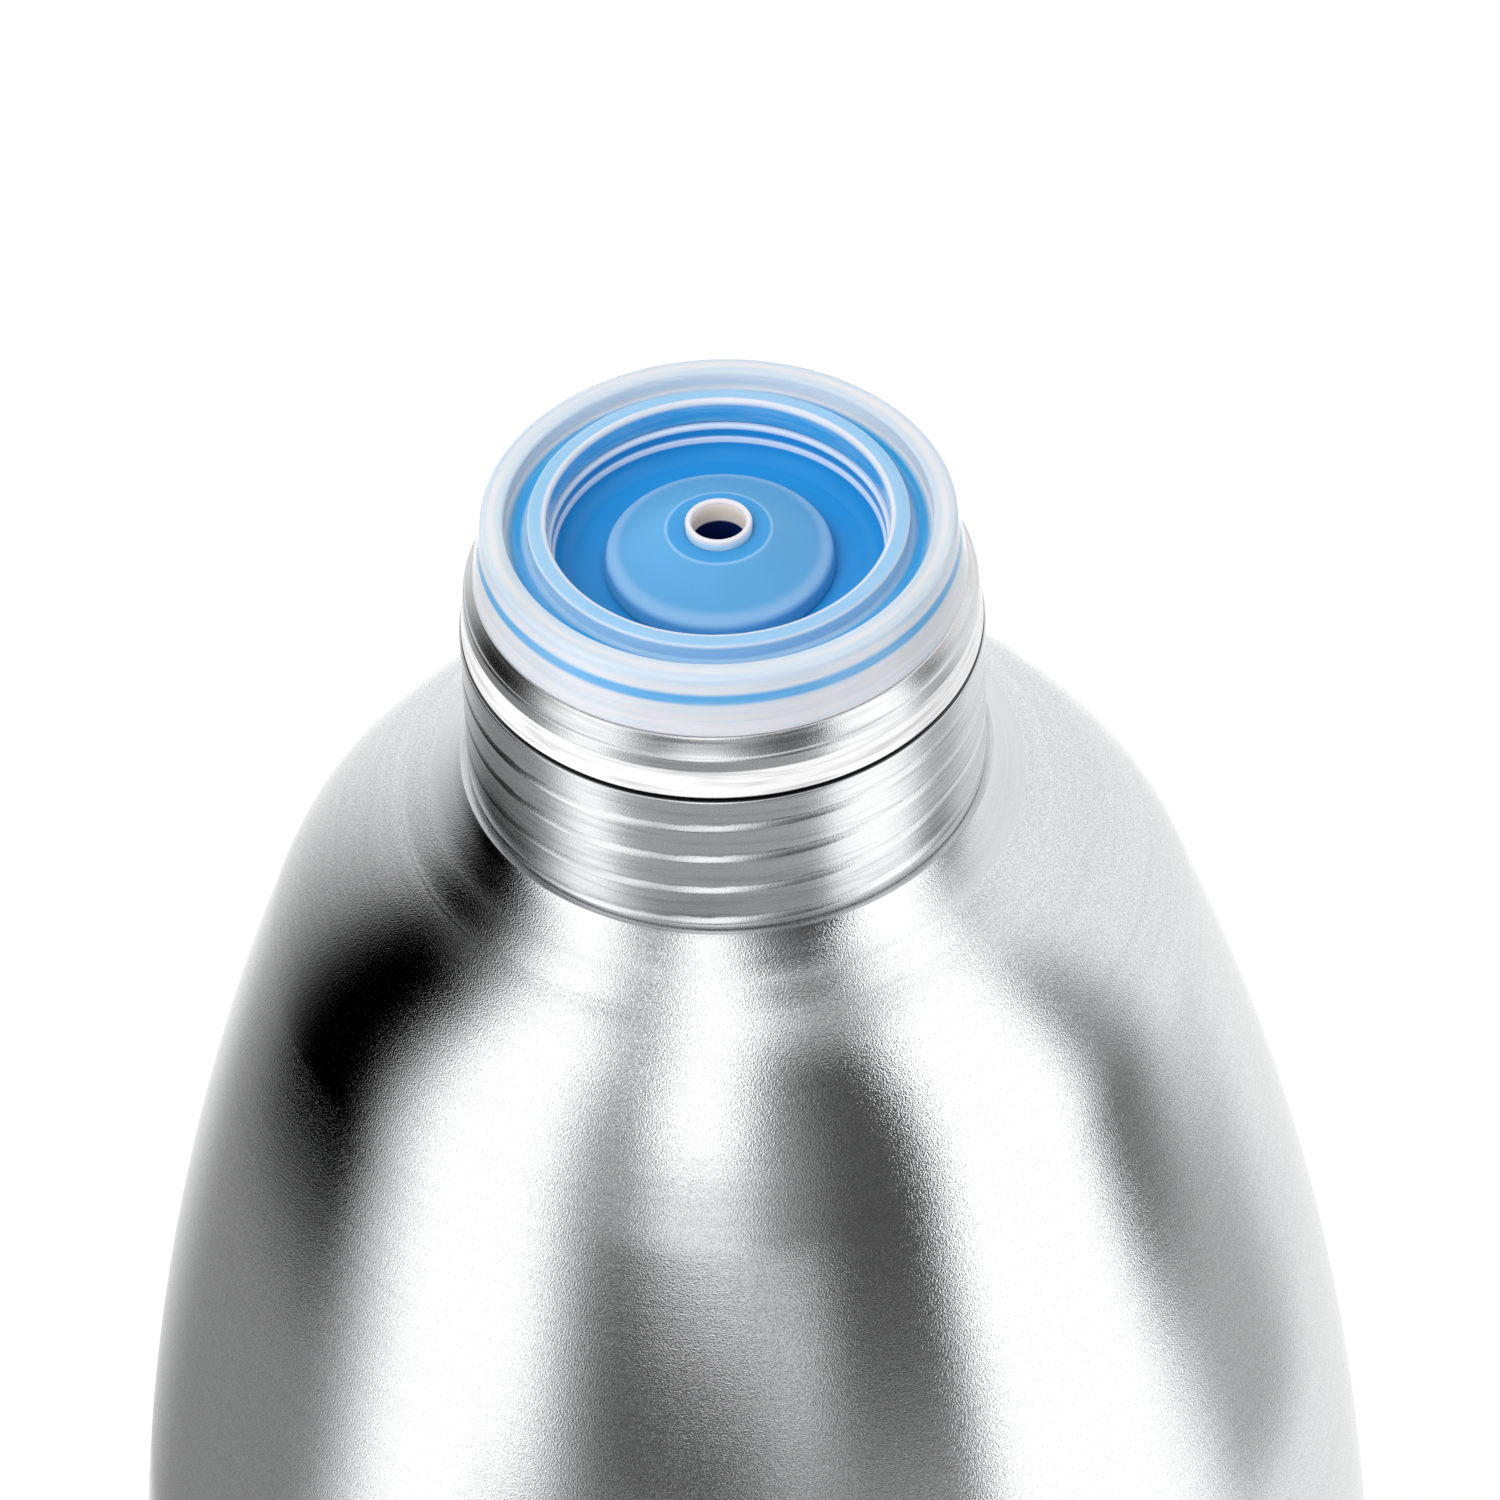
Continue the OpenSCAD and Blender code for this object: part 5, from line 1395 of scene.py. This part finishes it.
# Light tent, in degrees seen from the shoulder. Each strip has four edges: west and east, each at its foot
# and at its top, and low and high, each at its west and at its east end. Every edge has a softness.
# The level comes last.
TENT_STRIPS = {
    "left rim glow": (-230, -230, 10, -167, -160, 11, -80, -80, 4, -14, -14, 8, 1.52),
    "right rim glow": (160, 158, 13, 230, 230, 10, -80, -80, 4, -16, -16, 10, 1.39),
    "left flag": (-137, -113, 50, -82, -76, 20, -34, -22, 10, 47, 49, 28, 0.0),
    "left crown": (-130, -118, 30, -85, -80, 16, 43, 41, 12, 65, 59, 14, 0.09),
    "left black": (-116, -109, 16, -87, -83, 10, -30, -20, 8, 42, 44, 12, 0.0),
    "left floor": (-150, -140, 40, -80, -78, 16, -80, -80, 4, -30, -20, 4, 0.28),
    "left box": (-71, -70, 11, -38, -43, 6, -80, -80, 4, 66, 58, 15, 1.45),
    "left gap": (-36, -36, 10, -17, -21, 6, -80, -80, 4, 67, 66, 13, 0.40),
    "top left shade": (-53, -56, 11, -34, -32, 10, 63, 61, 11, 100, 100, 4, 0.51),
    "window strip": (-17, -18, 6, 1, 1, 7, -4, -2, 9, 25, 26, 16, 0.96),
    "window top": (-20, -31, 12, -2, 16, 10, 28, 26, 17, 100, 100, 4, 1.45),
    "window edge": (1, 5, 9, 19, 18, 8, -3, -4, 9, 58, 64, 14, 0.33),
    "front flag": (13, 16, 12, 40, 42, 5, -30, -30, 8, 62, 61, 13, 0.10),
    "low front": (-34, -30, 13, 3, 7, 12, -80, -80, 4, 2, -9, 14, 0.12),
    "low right": (0, 1, 12, 42, 46, 5, -80, -80, 4, -11, -14, 10, 0.30),
    "near floor": (-50, -50, 10, 60, 60, 10, -80, -80, 4, -22, -22, 6, 0.42),
    "right box": (42, 42, 4, 80, 82, 6, -80, -80, 4, 57, 63, 17, 1.45),
    "right gap": (79, 79, 10, 104, 89, 18, -18, -28, 6, 42, 44, 31, 0.36),
    "right low shade": (80, 80, 7, 97, 93, 9, -21, -24, 4, -6, 6, 16, 0.22),
    "right foot": (76, 76, 8, 90, 91, 8, -80, -80, 4, -26, -30, 8, 1.21),
    "right floor": (91, 88, 11, 123, 117, 25, -80, -80, 4, -22, -22, 4, 0.51),
    "top right shade": (22, 22, 12, 52, 54, 13, 57, 59, 14, 100, 100, 4, 0.42),
}
REFERENCE_RADIUS = 0.045
REFERENCE_HEIGHT = 0.15
OPEN_LEVEL = 0.97
SCREEN_LEVEL = 0.93
SCREEN_CORNERS = [(0.077, -0.035, 0.002), (0.077, 0.07, 0.002), (0.077, 0.07, 0.125),
                  (0.077, -0.035, 0.125)]
FLOOR_CORNERS = [(-6, -6, 0), (6, -6, 0), (6, 6, 0), (-6, 6, 0)]
FLOOR_GREY = 0.92
FLOOR_BRIGHTNESS = 1.03
KEY_SIZE = 0.8
KEY_PLACE = (-0.55, -0.5, 1.2)
KEY_AIM = (0, 0, 0.15)
SENSOR = 36


def strip_mask(compass, rise, edges):
    """One inside a strip. Each edge lies between its two ends by how far along the strip a place is."""
    west, east, low, high = np.reshape(edges, (4, 3))
    foot, left = low[:2].mean(), west[:2].mean()
    upward = np.clip((rise - foot) / (high[:2].mean() - foot), 0, 1)
    across = np.clip((compass - left) / (east[:2].mean() - left), 0, 1)
    mask = 1
    for place, edge, along, side in ((compass, west, upward, 1), (compass, east, upward, -1),
                                     (rise, low, across, 1), (rise, high, across, -1)):
        start, end, soft = edge
        mask = mask * soft_step(side * (place - start - (end - start) * along), soft)
    return mask


def tent_surface(radius):
    """The tent on a grid of compass angle and a line that runs out along the floor, up a wall and over a
    dome. Its level starts even and is blended toward each strip's level inside the strip's edges."""
    floor, wall_foot, wall_top = 0.0015, 0.004, 0.17
    compass = np.radians(np.linspace(-180, 180, 361)[:-1])
    line = np.concatenate([
        run((0.14, floor), (radius, floor), 40),
        run((radius, wall_foot), (radius, wall_top), 24),
        arc((0, wall_top), radius, 0, 89.5, 60)[1:]])
    out, up = line[:, :1], line[:, 1:]
    points = np.stack([out * np.sin(compass), -out * np.cos(compass), up + 0 * compass], -1)
    rise = np.degrees(np.arctan2(up - REFERENCE_HEIGHT, out - REFERENCE_RADIUS))
    rise = np.where(rise > 90, 90, rise)
    level = np.full(points.shape[:2], OPEN_LEVEL)
    for *edges, strip_level in TENT_STRIPS.values():
        mask = strip_mask(np.degrees(compass)[None, :], rise, edges)
        level = level * (1 - mask) + strip_level * mask
    return points.reshape(-1, 3), grid_faces(len(line), len(compass)), level.ravel()


def flat_mesh(name, corners):
    """A mesh of one four-sided face."""
    mesh = bpy.data.meshes.new(name)
    mesh.from_pydata(corners, [], [(0, 1, 2, 3)])
    return mesh


def seen_directly(tree):
    """One for rays from the camera, from reflections and through clear things, and nothing for other
    rays."""
    rays = tree.nodes.new("ShaderNodeLightPath").outputs
    through = number(tree, "MAXIMUM", rays["Is Glossy Ray"], rays["Is Transmission Ray"])
    return number(tree, "MAXIMUM", rays["Is Camera Ray"], through)


def make_floor(glow_share):
    """A wide flat floor whose white is part even glow and part lit surface, so shadows stay pale."""
    mesh = flat_mesh("floor", FLOOR_CORNERS)
    tree, shader = start_finish("floor_white")
    shader.inputs["Base Color"].default_value = (FLOOR_GREY, FLOOR_GREY, FLOOR_GREY, 1)
    shader.inputs["Roughness"].default_value = 0.9
    shader.inputs["Specular IOR Level"].default_value = 0
    glow = tree.nodes.new("ShaderNodeEmission")
    glow.inputs["Strength"].default_value = FLOOR_BRIGHTNESS
    mix = tree.nodes.new("ShaderNodeMixShader")
    tree.links.new(product(tree, seen_directly(tree), glow_share), mix.inputs[0])
    tree.links.new(shader.outputs[0], mix.inputs[1])
    tree.links.new(glow.outputs[0], mix.inputs[2])
    tree.links.new(mix.outputs[0], tree.nodes["Material Output"].inputs["Surface"])
    mesh.materials.append(FINISHES["floor_white"])
    floor = put("floor", mesh)


def make_tent(radius):
    """The light tent and a pale screen between the bottle and the head, seen only in reflections."""
    points, faces, level = tent_surface(radius)
    tent = bpy.data.meshes.new("light_tent")
    tent.from_pydata(points.tolist(), [], faces.tolist())
    material = bpy.data.materials.new("tent_light")
    material.use_nodes = True
    material.cycles.emission_sampling = "NONE"
    tree = material.node_tree
    tree.nodes.clear()
    read = tree.nodes.new("ShaderNodeAttribute")
    read.attribute_name = "level"
    light = tree.nodes.new("ShaderNodeEmission")
    out = tree.nodes.new("ShaderNodeOutputMaterial")
    tree.links.new(read.outputs["Fac"], light.inputs["Strength"])
    tree.links.new(light.outputs[0], out.inputs["Surface"])
    screen = flat_mesh("pale_screen", SCREEN_CORNERS)
    for mesh, levels in ((tent, level), (screen, np.full(len(SCREEN_CORNERS), SCREEN_LEVEL))):
        mesh.attributes.new("level", "FLOAT", "POINT").data.foreach_set("value", levels)
        mesh.materials.append(material)
        sheet = put(mesh.name, mesh)
        sheet.visible_camera = False
        sheet.visible_diffuse = False
        sheet.visible_transmission = False
        sheet.visible_shadow = False
        sheet.visible_volume_scatter = False


def make_lights(sky_level, key_power):
    """Even sky light and one large soft lamp from the upper left."""
    world = bpy.data.worlds.new("studio_sky")
    bpy.context.scene.world = world
    world.use_nodes = True
    tree = world.node_tree
    sky = tree.nodes["Background"]
    sky.inputs["Color"].default_value = (1, 1, 1, 1)
    strength = ranged(tree, seen_directly(tree), 0.0, 1.0, sky_level, 1.0, False)
    tree.links.new(strength, sky.inputs["Strength"])
    lamp = bpy.data.lights.new("soft_key", "AREA")
    lamp.energy = key_power
    lamp.size = KEY_SIZE
    key = put("soft_key", lamp)
    key.location = KEY_PLACE
    key.rotation_euler = (Vector(KEY_AIM) - key.location).to_track_quat("-Z", "Y").to_euler()
    key.visible_glossy = False
    key.visible_camera = False


def make_camera(studio):
    """A long lens that looks down on the neck from the front."""
    lens = bpy.data.cameras.new("camera")
    lens.sensor_width = SENSOR
    lens.lens = SENSOR * studio.lens_share
    lens.clip_start = 0.01
    camera = put("camera", lens)
    dip, roll = studio.camera_dip, studio.camera_roll
    forward = Vector((0, math.cos(dip), -math.sin(dip)))
    side = Vector(ALONG_X)
    above = side.cross(forward)
    right = side * math.cos(roll) + above * math.sin(roll)
    up = above * math.cos(roll) - side * math.sin(roll)
    turned_view = Matrix((right, up, -forward)).transposed().to_4x4()
    camera.matrix_world = Matrix.Translation(Vector(studio.camera_place)) @ turned_view
    bpy.context.scene.camera = camera


class SIPHON_OT_stage(bpy.types.Operator):
    """Set the floor, light tent, lamp, sky and camera."""
    bl_idname = "siphon.stage"
    bl_label = "Studio"

    def execute(self, context):
        studio = context.scene.siphon_studio
        make_floor(studio.floor_glow)
        make_tent(studio.tent_radius)
        make_lights(studio.sky, studio.key_power)
        make_camera(studio)
        context.scene.view_settings.view_transform = "Standard"
        return {"FINISHED"}


class SIPHON_PT_sidebar(bpy.types.Panel):
    """Lists the siphon's operators and values."""
    bl_idname = "SIPHON_PT_sidebar"
    bl_label = "Open soda siphon"
    bl_space_type = "VIEW_3D"
    bl_region_type = "UI"
    bl_category = "Siphon"

    def draw(self, context):
        for operator in OPERATORS:
            self.layout.operator(operator.bl_idname)
        for name, group in GROUPS.items():
            for entry in group.__annotations__:
                self.layout.prop(getattr(context.scene, name), entry)


OPERATORS = (SIPHON_OT_stage, SIPHON_OT_finishes, SIPHON_OT_bottle, SIPHON_OT_insert, SIPHON_OT_head,
             SIPHON_OT_fittings)
GROUPS = {
    "siphon_bottle": BottleSizes,
    "siphon_insert": InsertSizes,
    "siphon_head": HeadSizes,
    "siphon_colours": SiphonColours,
    "siphon_studio": StudioSettings,
}


def register():
    for name, group in GROUPS.items():
        bpy.utils.register_class(group)
        setattr(bpy.types.Scene, name, PointerProperty(type=group))
    for part in (*OPERATORS, SIPHON_PT_sidebar):
        bpy.utils.register_class(part)


def unregister():
    for part in (SIPHON_PT_sidebar, *reversed(OPERATORS)):
        bpy.utils.unregister_class(part)
    for name, group in reversed(list(GROUPS.items())):
        delattr(bpy.types.Scene, name)
        bpy.utils.unregister_class(group)


def main():
    register()
    bpy.ops.siphon.stage()
    bpy.ops.siphon.finishes()
    bpy.ops.siphon.bottle()
    bpy.ops.siphon.insert()
    bpy.ops.siphon.head()
    bpy.ops.siphon.fittings()


if __name__ == "__main__":
    main()
